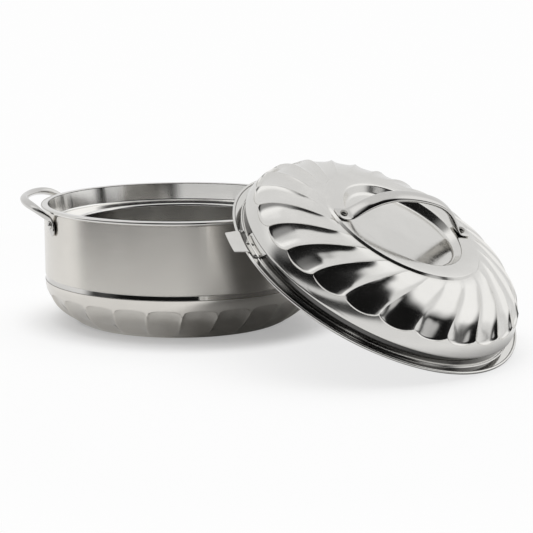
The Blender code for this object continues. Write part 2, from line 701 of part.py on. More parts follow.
def lid_handle(material):
    """Arched strap over the dish, flattened at both feet."""
    # How far along the foot from its toe, and its width
    foot_shares = (
        (0.00, 0.70),
        (0.10, 1.02),
        (0.32, 1.14),
        (0.65, 1.16),
        (1.00, 1.14),
    )
    # How far out along the arch, its rise, its width, and how far its thickness has gone from the foot's
    arch_shares = (
        (0.946, 0.06, 1.10, 0.30),
        (0.881, 0.20, 1.04, 0.70),
        (0.787, 0.42, 1.00, 1.00),
        (0.663, 0.64, 1.00, 1.00),
        (0.509, 0.82, 1.00, 1.00),
        (0.319, 0.94, 1.00, 1.00),
        (0.000, 1.00, 1.00, 1.00),
    )
    heel = LID_HANDLE_HALF_LENGTH - LID_HANDLE_FOOT_LENGTH
    low = PLATEAU_HEIGHT + CLEARANCE + LID_HANDLE_FOOT_THICKNESS / 2.0
    high = PLATEAU_HEIGHT + LID_HANDLE_RISE - LID_HANDLE_THICKNESS / 2.0
    half = []
    for run_share, width_share in foot_shares:
        centre = Vector((blend(LID_HANDLE_HALF_LENGTH, heel, run_share), 0.0, low))
        half.append((centre, LID_HANDLE_WIDTH * width_share, LID_HANDLE_FOOT_THICKNESS))
    for run_share, rise_share, width_share, round_share in arch_shares:
        centre = Vector((heel * run_share, 0.0, blend(low, high, rise_share)))
        half.append((centre, LID_HANDLE_WIDTH * width_share,
                     blend(LID_HANDLE_FOOT_THICKNESS, LID_HANDLE_THICKNESS, round_share)))
    mirror = [(Vector((-centre.x, 0.0, centre.z)), width, thickness)
              for centre, width, thickness in half[:-1]]
    path = half + list(reversed(mirror))
    across = Vector((0.0, 1.0, 0.0))
    sections = []
    for index, (centre, width, thickness) in enumerate(path):
        before = path[max(index - 1, 0)][0]
        after = path[min(index + 1, len(path) - 1)][0]
        along = (after - before).normalized()
        sections.append((centre, across, along.cross(across).normalized(), width, thickness))
    return lofted_bar("lid_handle", sections, material)


def lid_handle_rivets(frame, handle, dome, material):
    seat = PLATEAU_HEIGHT + LID_HANDLE_FOOT_THICKNESS + 2.0 * CLEARANCE
    grip = LID_HANDLE_FOOT_THICKNESS + SHEET + 3.0 * CLEARANCE
    for side, sign in (("near", -1.0), ("far", 1.0)):
        name = "lid_handle_rivet_" + side
        mesh = rivet_mesh(name, LID_RIVET_HEAD, LID_RIVET_CROWN, LID_RIVET_SHANK, grip,
                          LID_RIVET_TAIL, LID_RIVET_TAIL_THICKNESS)
        rivet = add_mesh(name, mesh, material)
        position = Vector((sign * LID_HANDLE_RIVET_RADIUS, 0.0, seat))
        rivet.location = position
        rivet.parent = frame
        for item in (handle, dome):
            drill(item, position, Vector((0.0, 0.0, 1.0)), LID_RIVET_SHANK + 2.0 * CLEARANCE,
                  2.0 * (grip + CUT_OVERRUN))


def bracket_rows():
    """Outer face of a bracket as (radius, height, half angle, shift), from its leg to its tongue."""
    tongue_shares = (0.76, 0.74, 0.62)
    leg = LID_COLLAR_RADIUS + CLEARANCE + SHEET
    flat = CLEARANCE + SHEET
    bead_in = LID_RADIUS - 2.0 * LID_BEAD
    over_bead = LID_BEAD + CLEARANCE + SHEET
    tongue = [BRACKET_HALF_ANGLE * share for share in tongue_shares]
    return [(leg, LID_COLLAR_HEIGHT - CLEARANCE, BRACKET_LEG_HALF_ANGLE, BRACKET_LEG_SHIFT),
            (leg, flat + SHEET, BRACKET_LEG_HALF_ANGLE, BRACKET_LEG_SHIFT / 2.0),
            (leg + SHEET, flat, BRACKET_HALF_ANGLE, 0.0),
            (bead_in - SHEET - CLEARANCE, flat, BRACKET_HALF_ANGLE, 0.0),
            (bead_in, over_bead, tongue[0], 0.0),
            (LID_RADIUS, over_bead, tongue[1], 0.0),
            (LID_RADIUS + BRACKET_TONGUE_REACH, over_bead - BRACKET_TONGUE_DROP, tongue[2], 0.0)]


def side_bracket(name, middle, material):
    """Bent sheet: a leg against the collar, a riveted strip and a tongue that slopes past the bead."""
    rows = bracket_rows()
    columns = 8

    def place(row, turn):
        radius, height, half_angle, shift = rows[len(rows) - 1 - row]
        return polar(radius, middle + shift + (2.0 * turn - 1.0) * half_angle, height)

    return wrapped_sheet(name, len(rows), columns, place, material, full_circle=False)


def bracket_rivets(name, middle, frame, bracket, flange, material):
    seat = SHEET + 2.0 * CLEARANCE
    grip = seat + SHEET
    inner = LID_COLLAR_RADIUS + SHEET + CLEARANCE
    outer = LID_RADIUS - 2.0 * LID_BEAD - SHEET - CLEARANCE
    for place, shift in (("a", -BRACKET_RIVET_ANGLE), ("b", 0.0), ("c", BRACKET_RIVET_ANGLE)):
        rivet_name = name + "_rivet_" + place
        mesh = rivet_mesh(rivet_name, BRACKET_RIVET_HEAD, BRACKET_RIVET_CROWN, BRACKET_RIVET_SHANK, grip,
                          0.0, 0.0)
        rivet = add_mesh(rivet_name, mesh, material)
        position = polar((inner + outer) / 2.0, middle + shift, seat)
        rivet.location = position
        rivet.parent = frame
        for item in (bracket, flange):
            drill(item, position, Vector((0.0, 0.0, 1.0)), BRACKET_RIVET_SHANK + 2.0 * CLEARANCE,
                  2.0 * (grip + CUT_OVERRUN))


def build_pot():
    satin = steel_finish("satin_steel", STEEL, 0.32)
    polished = steel_finish("polished_steel", STEEL, 0.10)
    dark = steel_finish("rivet_steel", DARK_STEEL, 0.18)
    foam = steel_finish("insulation_foam", FOAM, 0.90, 0.0)
    wall = pot_side_wall(satin)
    pot_accent_band(polished)
    pot_fluted_bowl(satin)
    pot_base_plate(satin)
    pot_rim_ring(polished)
    pot_liner(polished)
    pot_foam(foam)
    for side, turn in (("right", 0.0), ("left", math.pi)):
        handle = pot_handle(side + "_handle", turn, polished)
        handle_rivets(side, turn, handle, wall, dark)


def build_lid():
    satin = steel_finish("lid_satin_steel", STEEL, 0.28)
    polished = steel_finish("lid_polished_steel", STEEL, 0.10)
    dark = steel_finish("lid_rivet_steel", DARK_STEEL, 0.18)
    foam = steel_finish("lid_insulation_foam", FOAM, 0.90, 0.0)
    frame = lid_frame()
    dome = lid_dome(satin)
    flange = lid_flange(polished)
    plate = lid_inner_plate(satin)
    filling = lid_foam(foam)
    handle = lid_handle(polished)
    for item in (dome, flange, plate, filling, handle):
        item.parent = frame
    lid_handle_rivets(frame, handle, dome, dark)
    for side, middle in zip(("near", "far"), BRACKET_ANGLES):
        name = "lid_bracket_" + side
        bracket = side_bracket(name, middle, polished)
        bracket.parent = frame
        bracket_rivets(name, middle, frame, bracket, flange, dark)


build_pot()
build_lid()
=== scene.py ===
"""Finished look of a stainless-steel casserole whose lid leans on one of the pot's handles.

Units are metres, +Z is up, and the origin is the middle of the pot's base. Pieces of the lid are made
in the lid's own frame, whose origin is on its axis at the top of its flange, and are then turned and moved.
"""

import math

import bmesh
import bpy
from mathutils import Matrix, Vector


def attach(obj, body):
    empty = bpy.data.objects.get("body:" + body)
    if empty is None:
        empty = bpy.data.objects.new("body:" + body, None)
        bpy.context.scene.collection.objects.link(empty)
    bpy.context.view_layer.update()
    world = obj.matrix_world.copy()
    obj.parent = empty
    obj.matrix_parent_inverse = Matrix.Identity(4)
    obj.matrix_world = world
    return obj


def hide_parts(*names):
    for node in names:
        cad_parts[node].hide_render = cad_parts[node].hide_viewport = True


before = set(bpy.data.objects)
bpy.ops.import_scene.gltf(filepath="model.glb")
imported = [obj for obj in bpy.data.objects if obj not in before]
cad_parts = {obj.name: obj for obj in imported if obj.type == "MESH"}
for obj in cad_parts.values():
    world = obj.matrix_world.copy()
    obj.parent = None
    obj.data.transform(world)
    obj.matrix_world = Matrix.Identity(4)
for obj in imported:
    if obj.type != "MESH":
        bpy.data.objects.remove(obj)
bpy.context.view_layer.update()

MM = 0.001
SHEET = 0.8 * MM
CLEARANCE = 0.3 * MM
TURN_STEPS = 192
FLANGE_STEPS = 256
RIVET_STEPS = 40
ARC_STEP = math.radians(15.0)
FILLET_EDGE_SHARE = 0.49
SHARP_EDGE = math.radians(35.0)
MERGE = 0.01 * MM
SECTION_SIDES = 16
SECTION_FULLNESS = 2.6

# Camera
CAMERA_TARGET = Vector((0.09311, 0.0, 0.05443))
CAMERA_DISTANCE = 1.850
CAMERA_ELEVATION = math.radians(10.60)
CAMERA_LENS = 113.03
CAMERA_SENSOR = 36.0

# Pot
POT_RADIUS = 150.0 * MM
POT_HEIGHT = 128.0 * MM
BAND_BOTTOM = 46.0 * MM
BAND_HEIGHT = 5.4 * MM
BAND_GROOVE = 2.0 * MM
FOOT_RADIUS = 115.0 * MM
BASE_THICKNESS = 1.6 * MM
RIM_RADIUS = 153.6 * MM
RIM_BEAD_HEIGHT = 4.0 * MM
RECESS_RADIUS = 146.2 * MM
RECESS_DEPTH = 20.0 * MM
RECESS_DRAFT = 2.6 * MM
LEDGE_HEIGHT = POT_HEIGHT - RECESS_DEPTH
WELL_RADIUS = 115.0 * MM
WELL_FLOOR = 14.0 * MM
WELL_CORNER = 12.0 * MM
LEDGE_LIP = 3.0 * MM
LEDGE_CORNER = 2.0 * MM

# Scoops pressed into the pot's lower bowl
BOWL_SCOOPS = 25
BOWL_SCOOP_DEPTH = 3.8 * MM
BOWL_SCOOP_TOP = 35.4 * MM
BOWL_SCOOP_CUSP = 28.2 * MM
BOWL_SCOOP_TURN = math.radians(-2.5)
BOWL_SCOOP_START = math.radians(-87.2)

# Pot handles
HANDLE_HALF_ANGLE = math.radians(27.5)
HANDLE_REACH = 176.0 * MM
HANDLE_TOP = 137.0 * MM
HANDLE_BAR_WIDTH = 9.2 * MM
HANDLE_BAR_HEIGHT = 7.6 * MM
HANDLE_ROLL = math.radians(26.0)
HANDLE_TAB_TIP = 100.5 * MM
HANDLE_TAB_WIDTH = 15.0 * MM
HANDLE_TAB_THICKNESS = 3.2 * MM
HANDLE_RIVET_HEIGHT = 112.0 * MM
HANDLE_RIVET_HEAD = 9.0 * MM
HANDLE_RIVET_CROWN = 3.0 * MM

# Lid
LID_ORIGIN = Vector((203.325 * MM, -171.761 * MM, 83.26 * MM))
LID_TILT = math.radians(31.367)
LID_LEAN_DIRECTION = math.radians(-36.42)
LID_SPIN = math.radians(67.6)
LID_RADIUS = 158.0 * MM
LID_BEAD = 1.5 * MM
LID_COLLAR_RADIUS = 146.8 * MM
LID_COLLAR_HEIGHT = 11.0 * MM
LID_RIDGE = 0.8 * MM
LID_PLUG_RADIUS = 145.2 * MM
LID_PLUG_DEPTH = 9.3 * MM
SKIRT_RADIUS = 149.8 * MM
SKIRT_BOTTOM = 12.6 * MM
SKIRT_HEM = 5.6 * MM
SCOOP_RADIUS = 144.6 * MM
SCOOP_HEIGHT = 29.6 * MM
PLATEAU_RADIUS = 86.0 * MM
PLATEAU_HEIGHT = 58.0 * MM
PLATEAU_STEP = 2.3 * MM
STEP_RUN = 2.0 * MM
CROWN_START = math.radians(21.0)
CROWN_FULLNESS = 0.87
DISH_RADIUS = 66.6 * MM
DISH_DEPTH = 8.0 * MM
DISH_WALL_RUN = 7.0 * MM

# Scoops pressed into the lid
LID_SCOOPS = 25
LID_SCOOP_DEPTH = 2.4 * MM
LID_SCOOP_ARCH = 5.2 * MM
LID_SCOOP_TURN = math.radians(24.0)
LID_SCOOP_START = math.radians(205.9)

# Lid handle
LID_HANDLE_RIVET_RADIUS = 75.5 * MM
LID_HANDLE_HALF_LENGTH = 84.0 * MM
LID_HANDLE_RISE = 36.0 * MM
LID_HANDLE_WIDTH = 16.0 * MM
LID_HANDLE_THICKNESS = 6.0 * MM
LID_HANDLE_FOOT_THICKNESS = 2.2 * MM
LID_RIVET_HEAD = 7.6 * MM
LID_RIVET_CROWN = 2.8 * MM

# Side brackets on the lid's flange
BRACKET_ANGLES = (math.radians(173.5), math.radians(-6.5))
BRACKET_HALF_ANGLE = math.radians(8.3)
BRACKET_LEG_HALF_ANGLE = math.radians(6.8)
BRACKET_LEG_SHIFT = math.radians(4.4)
BRACKET_TONGUE_REACH = 12.5 * MM
BRACKET_TONGUE_DROP = 4.0 * MM
BRACKET_RIVET_ANGLE = math.radians(7.2)
BRACKET_RIVET_HEAD = 3.8 * MM
BRACKET_RIVET_CROWN = 1.2 * MM

# Places on the floor: the middle of the scene, and the spot under the lid
FLOOR_MIDDLE = 0.10
LID_FLOOR_X = 0.20
LID_FLOOR_Y = -0.17

# Steel and foam
FINE_GRAIN = 0.001 * MM
COARSE_GRAIN = 0.004 * MM
FOAM_DEEP = (0.68, 0.60, 0.38, 1.0)
FOAM_PALE = (0.88, 0.83, 0.66, 1.0)
STEEL_WARM = (0.76, 0.735, 0.69)
STEEL_BRIGHT = (0.78, 0.77, 0.745)
STEEL_HANDLE = (0.66, 0.65, 0.63)
# The liner's tint is raised well above the other steels: painted brightness that stands in for light lost
# between the recess's mirrored bounces.
STEEL_LINER_BRIGHTENED = (0.93, 0.92, 0.895)
# Darker tint of the lid's underside: painted shade, so that its reflection on the pot looks shadowed.
STEEL_UNDERSIDE_SHADED = (0.52, 0.505, 0.48)
# Darker tint of the lid's rivet heads: a painted dark reflection.
STEEL_RIVET_DARKENED = (0.32, 0.31, 0.29)

LID_TURN = (Matrix.Translation(LID_ORIGIN) @ Matrix.Rotation(LID_LEAN_DIRECTION, 4, "Z")
            @ Matrix.Rotation(LID_TILT, 4, "Y") @ Matrix.Rotation(LID_SPIN, 4, "Z"))


# Shapes

def polar(radius, angle, height):
    return Vector((radius * math.cos(angle), radius * math.sin(angle), height))


def blend(start, end, share):
    return start + (end - start) * share


def smooth_share(value, low, high):
    share = min(max((value - low) / (high - low), 0.0), 1.0)
    return share * share * (3.0 - 2.0 * share)


def rounded(corners, closed=False):
    """Profile of (radius, height) points from (radius, height, fillet) corners.

    A fillet takes up at most FILLET_EDGE_SHARE of each edge beside it.
    """
    points = []
    count = len(corners)
    for index, (radius, height, fillet) in enumerate(corners):
        here = Vector((radius, height))
        ends = not closed and index in (0, count - 1)
        if fillet <= 0.0 or ends:
            points.append(here)
            continue
        before = Vector(corners[(index - 1) % count][:2]) - here
        after = Vector(corners[(index + 1) % count][:2]) - here
        opening = before.angle(after)
        reach = min(fillet / math.tan(opening / 2.0), before.length * FILLET_EDGE_SHARE,
                    after.length * FILLET_EDGE_SHARE)
        size = reach * math.tan(opening / 2.0)
        start = here + before.normalized() * reach
        bisector = (before.normalized() + after.normalized()).normalized()
        centre = here + bisector * (size / math.sin(opening / 2.0))
        swing = math.pi - opening
        steps = max(2, math.ceil(swing / ARC_STEP))
        arm = start - centre
        side = math.copysign(1.0, before.x * after.y - before.y * after.x)
        for step in range(steps + 1):
            turn = -side * swing * step / steps
            points.append(centre + Vector((arm.x * math.cos(turn) - arm.y * math.sin(turn),
                                           arm.x * math.sin(turn) + arm.y * math.cos(turn))))
    return points


def grid_faces(bm, rings, wrap):
    """Faces between rows of vertices; a row of one vertex is a tip."""
    for row, following in zip(rings, rings[1:]):
        count = max(len(row), len(following))
        for step in range(count if wrap else count - 1):
            after = (step + 1) % count
            quad = [row[step % len(row)], row[after % len(row)],
                    following[after % len(following)], following[step % len(following)]]
            corners = list(dict.fromkeys(quad))
            if len(corners) > 2:
                bm.faces.new(corners)


def turned(profile, closed=False, steps=TURN_STEPS):
    """Profile of (radius, height) points turned once about Z."""
    bm = bmesh.new()
    rings = []
    for radius, height in profile:
        if radius < MERGE:
            rings.append([bm.verts.new((0.0, 0.0, height))])
        else:
            rings.append([bm.verts.new(polar(radius, math.tau * step / steps, height))
                          for step in range(steps)])
    if closed:
        rings.append(rings[0])
    grid_faces(bm, rings, True)
    return bm


def wrapped(rows, columns, place, wrap=True):
    """Sheet from a grid: place(row, turn) gives each point."""
    bm = bmesh.new()
    count = columns if wrap else columns + 1
    rings = []
    for row in range(rows):
        first = place(row, 0.0)
        if math.hypot(first.x, first.y) < MERGE:
            rings.append([bm.verts.new(first)])
        else:
            rings.append([bm.verts.new(place(row, step / columns)) for step in range(count)])
    grid_faces(bm, rings, wrap)
    return bm


def section_points(section):
    """Rounded outline of a section of (centre, width direction, thickness direction, width, thickness)."""
    centre, wide, thin, width, thickness = section
    points = []
    for step in range(SECTION_SIDES):
        angle = math.tau * (step + 0.5) / SECTION_SIDES
        across = math.copysign(abs(math.cos(angle)) ** (2.0 / SECTION_FULLNESS), math.cos(angle))
        through = math.copysign(abs(math.sin(angle)) ** (2.0 / SECTION_FULLNESS), math.sin(angle))
        points.append(centre + wide * (across * width / 2.0) + thin * (through * thickness / 2.0))
    return points


def lofted(sections):
    """Closed bar through its sections."""
    bm = bmesh.new()
    rings = [[bm.verts.new(point) for point in section_points(section)] for section in sections]
    grid_faces(bm, rings, True)
    bm.faces.new(list(reversed(rings[0])))
    bm.faces.new(rings[-1])
    return bm


def add_piece(name, bm, material, body, nodes, place=None, flats=False):
    """Object from a mesh, riding on a body and standing for CAD nodes; flats keeps its long faces even."""
    if place is not None:
        bm.transform(place)
    bmesh.ops.recalc_face_normals(bm, faces=bm.faces)
    mesh = bpy.data.meshes.new(name)
    bm.to_mesh(mesh)
    bm.free()
    mesh.materials.append(material)
    mesh.shade_smooth()
    mesh.set_sharp_from_angle(angle=SHARP_EDGE)
    piece = bpy.data.objects.new(name, mesh)
    bpy.context.scene.collection.objects.link(piece)
    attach(piece, body)
    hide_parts(*nodes)
    if flats:
        piece.modifiers.new("Flats", "WEIGHTED_NORMAL").keep_sharp = True
    return piece


def subdivide(piece):
    """Smooth a bar, and drop its sharp edges."""
    levels = 2
    modifier = piece.modifiers.new("Smooth", "SUBSURF")
    modifier.levels = levels
    modifier.render_levels = levels
    piece.data.set_sharp_from_angle(angle=math.pi)


# Materials

class Nodes:
    """Short calls for making a node tree."""

    def __init__(self, tree):
        self.tree = tree
        tree.nodes.clear()

    def add(self, kind, **values):
        node = self.tree.nodes.new(kind)
        for name, value in values.items():
            setattr(node, name, value)
        return node

    def feed(self, socket, value):
        if isinstance(value, bpy.types.NodeSocket):
            self.tree.links.new(value, socket)
        else:
            socket.default_value = value

    def math(self, operation, *values):
        node = self.add("ShaderNodeMath", operation=operation)
        for socket, value in zip(node.inputs, values):
            self.feed(socket, value)
        return node.outputs[0]

    def spread(self, value, low, high, start=0.0, end=1.0):
        """Smooth step of a value from low to high, mapped to start and end."""
        node = self.add("ShaderNodeMapRange", interpolation_type="SMOOTHSTEP")
        for name, given in (("Value", value), ("From Min", low), ("From Max", high),
                            ("To Min", start), ("To Max", end)):
            self.feed(node.inputs[name], given)
        return node.outputs["Result"]

    def noise(self, vector, scale, detail, distortion=0.0, fourth=None):
        node = self.add("ShaderNodeTexNoise", noise_dimensions="3D" if fourth is None else "4D")
        self.feed(node.inputs["Vector"], vector)
        if fourth is not None:
            self.feed(node.inputs["W"], fourth)
        node.inputs["Scale"].default_value = scale
        node.inputs["Detail"].default_value = detail
        node.inputs["Distortion"].default_value = distortion
        return node.outputs["Fac"]

    def axes(self, vector):
        """The x, y and z of a vector."""
        node = self.add("ShaderNodeSeparateXYZ")
        self.feed(node.inputs[0], vector)
        return node.outputs

    def length(self, x, y):
        squares = self.math("ADD", self.math("MULTIPLY", x, x), self.math("MULTIPLY", y, y))
        return self.math("SQRT", squares)

    def facing(self, vector, direction):
        """Cosine of the angle between a vector and a fixed direction."""
        node = self.add("ShaderNodeVectorMath", operation="DOT_PRODUCT")
        self.feed(node.inputs[0], vector)
        node.inputs[1].default_value = Vector(direction).normalized()
        return node.outputs["Value"]

    def paths(self):
        """The light path node, and whether a ray is a mirrored or a transmitted one."""
        path = self.add("ShaderNodeLightPath")
        return path, self.math("MAXIMUM", path.outputs["Is Glossy Ray"], path.outputs["Is Transmission Ray"])

    def mix_colour(self, share, first, second):
        node = self.add("ShaderNodeMix", data_type="RGBA")
        self.feed(node.inputs["Factor"], share)
        self.feed(node.inputs["A"], first)
        self.feed(node.inputs["B"], second)
        return node.outputs["Result"]


def colour(values, share):
    """A tint times a share, with full alpha."""
    return tuple(value * share for value in values) + (1.0,)


def grey(value):
    return (value, value, value, 1.0)


def shaded(name):
    """New material with its node helper and its shader."""
    material = bpy.data.materials.new(name)
    material.use_nodes = True
    nodes = Nodes(material.node_tree)
    shader = nodes.add("ShaderNodeBsdfPrincipled")
    output = nodes.add("ShaderNodeOutputMaterial")
    nodes.feed(output.inputs["Surface"], shader.outputs[0])
    return material, nodes, shader


def steel(name, tint, roughness, reference, grain=0.02, grain_height=FINE_GRAIN, smudge=0.03, wisps=0.0,
          brushed=0.0, painted_shade=None, waves=0.0, painted_hollow_shade=1.0):
    """Stainless steel with turned grain, handling smudges and fine scuffs, about a reference object's axis.

    painted_shade is (height, height, share): a painted shade, where the tint falls to the share at the first
    height. waves is the depth of shallow dents round the axis. painted_hollow_shade is the tint's share in
    pressed hollows, a painted shade there. wisps is how much rougher the scuffs are, and brushed is how far
    the highlights stretch across the grain.
    """
    lines_per_metre = 900.0
    around_scale = 4.0
    mark_scale = 22.0
    cloud_scale = 60.0
    cloud_share = 0.6
    streak_scale = 38.0
    streak_width = 0.05
    scuffed_marks = (0.42, 0.60)
    hollow_shade_range = (0.02, 0.40)
    wave_scale = 5.0
    smoothest = 0.03
    mark_share = 0.7
    tint_shares = (0.86, 1.06)
    material, nodes, shader = shaded(name)
    shader.inputs["Metallic"].default_value = 1.0
    where = nodes.add("ShaderNodeTexCoord", object=reference).outputs["Object"]
    x, y, z = nodes.axes(where)
    radius = nodes.math("MAXIMUM", nodes.length(x, y), MM)
    ring = nodes.add("ShaderNodeCombineXYZ")
    nodes.feed(ring.inputs[0], nodes.math("MULTIPLY", radius, lines_per_metre))
    nodes.feed(ring.inputs[1], nodes.math("MULTIPLY", z, lines_per_metre))
    nodes.feed(ring.inputs[2], nodes.math("MULTIPLY", nodes.math("DIVIDE", x, radius), around_scale))
    around = nodes.math("MULTIPLY", nodes.math("DIVIDE", y, radius), around_scale)
    lines = nodes.noise(ring.outputs[0], 1.0, 3.0, fourth=around)
    marks = nodes.noise(where, mark_scale, 4.0, 0.6)
    clouds = nodes.noise(where, cloud_scale, 3.0, 1.2)
    rough = nodes.math("MULTIPLY_ADD", nodes.math("SUBTRACT", lines, 0.5), grain, roughness)
    rough = nodes.math("MULTIPLY_ADD", nodes.math("SUBTRACT", marks, 0.5), smudge, rough)
    rough = nodes.math("MULTIPLY_ADD", nodes.math("SUBTRACT", clouds, 0.5), smudge * cloud_share, rough)
    if wisps > 0.0:
        streaks = nodes.noise(where, streak_scale, 5.0, 2.6)
        edge = nodes.math("ABSOLUTE", nodes.math("SUBTRACT", streaks, 0.5))
        scuff = nodes.math("MULTIPLY", nodes.spread(edge, 0.0, streak_width, 1.0, 0.0),
                           nodes.spread(marks, *scuffed_marks))
        rough = nodes.math("MULTIPLY_ADD", scuff, wisps, rough)
    nodes.feed(shader.inputs["Roughness"], nodes.math("MAXIMUM", rough, smoothest))
    shade = nodes.math("ADD", nodes.math("MULTIPLY", marks, mark_share),
                       nodes.math("MULTIPLY", lines, 1.0 - mark_share))
    base = nodes.mix_colour(shade, colour(tint, tint_shares[0]), colour(tint, tint_shares[1]))
    # Painted shade: the tint darkens past a height, for shade in a gap or a well.
    if painted_shade is not None:
        base = nodes.mix_colour(nodes.spread(z, painted_shade[0], painted_shade[1]), colour(tint, painted_shade[2]), base)
    # Painted shade in pressed hollows, by how deep each point sits in them.
    if painted_hollow_shade < 1.0:
        hollow = nodes.add("ShaderNodeAttribute", attribute_name="hollow").outputs["Fac"]
        base = nodes.mix_colour(nodes.spread(hollow, *hollow_shade_range), base, colour(tint, painted_hollow_shade))
    nodes.feed(shader.inputs["Base Color"], base)
    bump = nodes.add("ShaderNodeBump")
    bump.inputs["Strength"].default_value = 1.0
    bump.inputs["Distance"].default_value = grain_height
    nodes.feed(bump.inputs["Height"], lines)
    if waves > 0.0:
        dent = nodes.add("ShaderNodeBump")
        dent.inputs["Distance"].default_value = waves
        outline = nodes.add("ShaderNodeCombineXYZ")
        nodes.feed(outline.inputs[0], nodes.math("DIVIDE", x, radius))
        nodes.feed(outline.inputs[1], nodes.math("DIVIDE", y, radius))
        nodes.feed(dent.inputs["Height"], nodes.noise(outline.outputs[0], wave_scale, 2.0))
        nodes.feed(bump.inputs["Normal"], dent.outputs[0])
    nodes.feed(shader.inputs["Normal"], bump.outputs[0])
    if brushed > 0.0:
        shader.inputs["Anisotropic"].default_value = brushed
        outward = nodes.add("ShaderNodeCombineXYZ")
        nodes.feed(outward.inputs[0], x)
        nodes.feed(outward.inputs[1], y)
        turned_out = nodes.add("ShaderNodeVectorTransform", vector_type="VECTOR", convert_from="OBJECT",
                               convert_to="WORLD")
        nodes.feed(turned_out.inputs[0], outward.outputs[0])
        across = nodes.add("ShaderNodeVectorMath", operation="CROSS_PRODUCT")
        up = reference.matrix_world.to_3x3() @ Vector((0.0, 0.0, 1.0))
        nodes.feed(across.inputs[0], tuple(up))
        nodes.feed(across.inputs[1], turned_out.outputs[0])
        along = nodes.add("ShaderNodeVectorMath", operation="CROSS_PRODUCT")
        nodes.feed(along.inputs[0], nodes.add("ShaderNodeNewGeometry").outputs["Normal"])
        nodes.feed(along.inputs[1], across.outputs[0])
        nodes.feed(shader.inputs["Tangent"], along.outputs[0])
    return material


def foam(name):
    """Pale rigid insulation with small cells."""
    cell_scale = 700.0
    patch_scale = 30.0
    cell_depth = 0.4 * MM
    material, nodes, shader = shaded(name)
    shader.inputs["Roughness"].default_value = 0.9
    where = nodes.add("ShaderNodeTexCoord").outputs["Object"]
    cells = nodes.noise(where, cell_scale, 3.0)
    shade = nodes.math("MULTIPLY", cells, nodes.noise(where, patch_scale, 3.0))
    nodes.feed(shader.inputs["Base Color"], nodes.mix_colour(shade, FOAM_DEEP, FOAM_PALE))
    bump = nodes.add("ShaderNodeBump")
    bump.inputs["Distance"].default_value = cell_depth
    nodes.feed(bump.inputs["Height"], cells)
    nodes.feed(shader.inputs["Normal"], bump.outputs[0])
    return material


# Pot pieces

def bowl_radius(height):
    """Radius of the lower bowl without its scoops."""
    roundness = 2.4
    return FOOT_RADIUS + (POT_RADIUS - FOOT_RADIUS) * (1.0 - (1.0 - height / BAND_BOTTOM) ** roundness)


def bowl_normal(height):
    """Outward direction of the lower bowl, as (radial, vertical)."""
    step = SHEET / 2.0
    low = max(height - step, 0.0)
    run = bowl_radius(height + step) - bowl_radius(low)
    climb = height + step - low
    length = math.hypot(run, climb)
    return climb / length, -run / length


def build_wall(material):
    """Satin side wall, drawn in a little where it goes under the rim."""
    tuck = 1.2 * MM
    draw_in = 0.5 * MM
    shoulder = 2.4 * MM
    top = POT_HEIGHT - RIM_BEAD_HEIGHT + tuck
    bottom = BAND_BOTTOM + BAND_HEIGHT + CLEARANCE
    inner = POT_RADIUS - SHEET
    corners = [(POT_RADIUS - draw_in, top, 0.0), (POT_RADIUS, top - shoulder, 1.0 * MM),
               (POT_RADIUS, bottom, 0.35 * MM), (inner, bottom, 0.1 * MM), (inner, top, 0.0)]
    bm = turned(rounded(corners, True), True)
    add_piece("wall_skin", bm, material, "pot", ["outer_wall"], flats=True)


def build_band(material):
    """Bright band between the wall and the lower bowl, deeper at its top than at its foot."""
    lip = 0.5 * MM
    foot_step = 0.1 * MM
    top = BAND_BOTTOM + BAND_HEIGHT
    bottom = BAND_BOTTOM + CLEARANCE
    deep = POT_RADIUS - BAND_GROOVE
    corners = [(POT_RADIUS - lip, top, 0.2 * MM), (deep, top - lip, 0.3 * MM),
               (POT_RADIUS - foot_step, bottom, 0.2 * MM),
               (deep - SHEET, bottom, 0.0), (deep - SHEET, top, 0.0)]
    bm = turned(rounded(corners, True), True)
    add_piece("band_ring", bm, material, "pot", ["accent_band"], flats=True)


def build_bowl(material):
    """Lower bowl: a plain shoulder, then a ring of scoops with crisp arches, down to the foot."""
    columns_per_scoop = 16
    shoulder_rows = 7
    scoop_rows = 26
    row_crowding = 1.5
    foot = BASE_THICKNESS + CLEARANCE
    arch_sharpness = 2.8
    hollow_sharpness = 3
    step_run = 2.6 * MM
    fade_start_share = 0.80

    def place(row, turn):
        angle = BOWL_SCOOP_START + math.tau * turn
        phase = (turn * BOWL_SCOOPS) % 1.0
        across = abs(2.0 * phase - 1.0)
        arch_share = (1.0 - across ** arch_sharpness) ** (1.0 / arch_sharpness)
        arch = BOWL_SCOOP_CUSP + (BOWL_SCOOP_TOP - BOWL_SCOOP_CUSP) * arch_share
        if row < shoulder_rows:
            height = blend(BAND_BOTTOM, arch, row / shoulder_rows)
            return polar(bowl_radius(height), angle, height)
        share = ((row - shoulder_rows) / scoop_rows) ** row_crowding
        height = blend(arch, foot, share)
        hollow = 1.0 - across ** hollow_sharpness
        rise = math.sqrt(1.0 - (1.0 - min((arch - height) / step_run, 1.0)) ** 2)
        fade = 1.0 - smooth_share(share, fade_start_share, 1.0)
        depth = BOWL_SCOOP_DEPTH * hollow * rise * fade
        radial, vertical = bowl_normal(height)
        return polar(bowl_radius(height) - depth * radial, angle + BOWL_SCOOP_TURN * share,
                     height - depth * vertical)

    bm = wrapped(shoulder_rows + scoop_rows + 1, BOWL_SCOOPS * columns_per_scoop, place)
    # How deep each point sits in a scoop; the material paints shade in the hollows from it.
    hollow_layer = bm.verts.layers.float.new("hollow")
    for vertex in bm.verts:
        sunk = bowl_radius(min(vertex.co.z, BAND_BOTTOM)) - math.hypot(vertex.co.x, vertex.co.y)
        vertex[hollow_layer] = sunk / BOWL_SCOOP_DEPTH
    add_piece("bowl_skin", bm, material, "pot", ["fluted_bowl"])


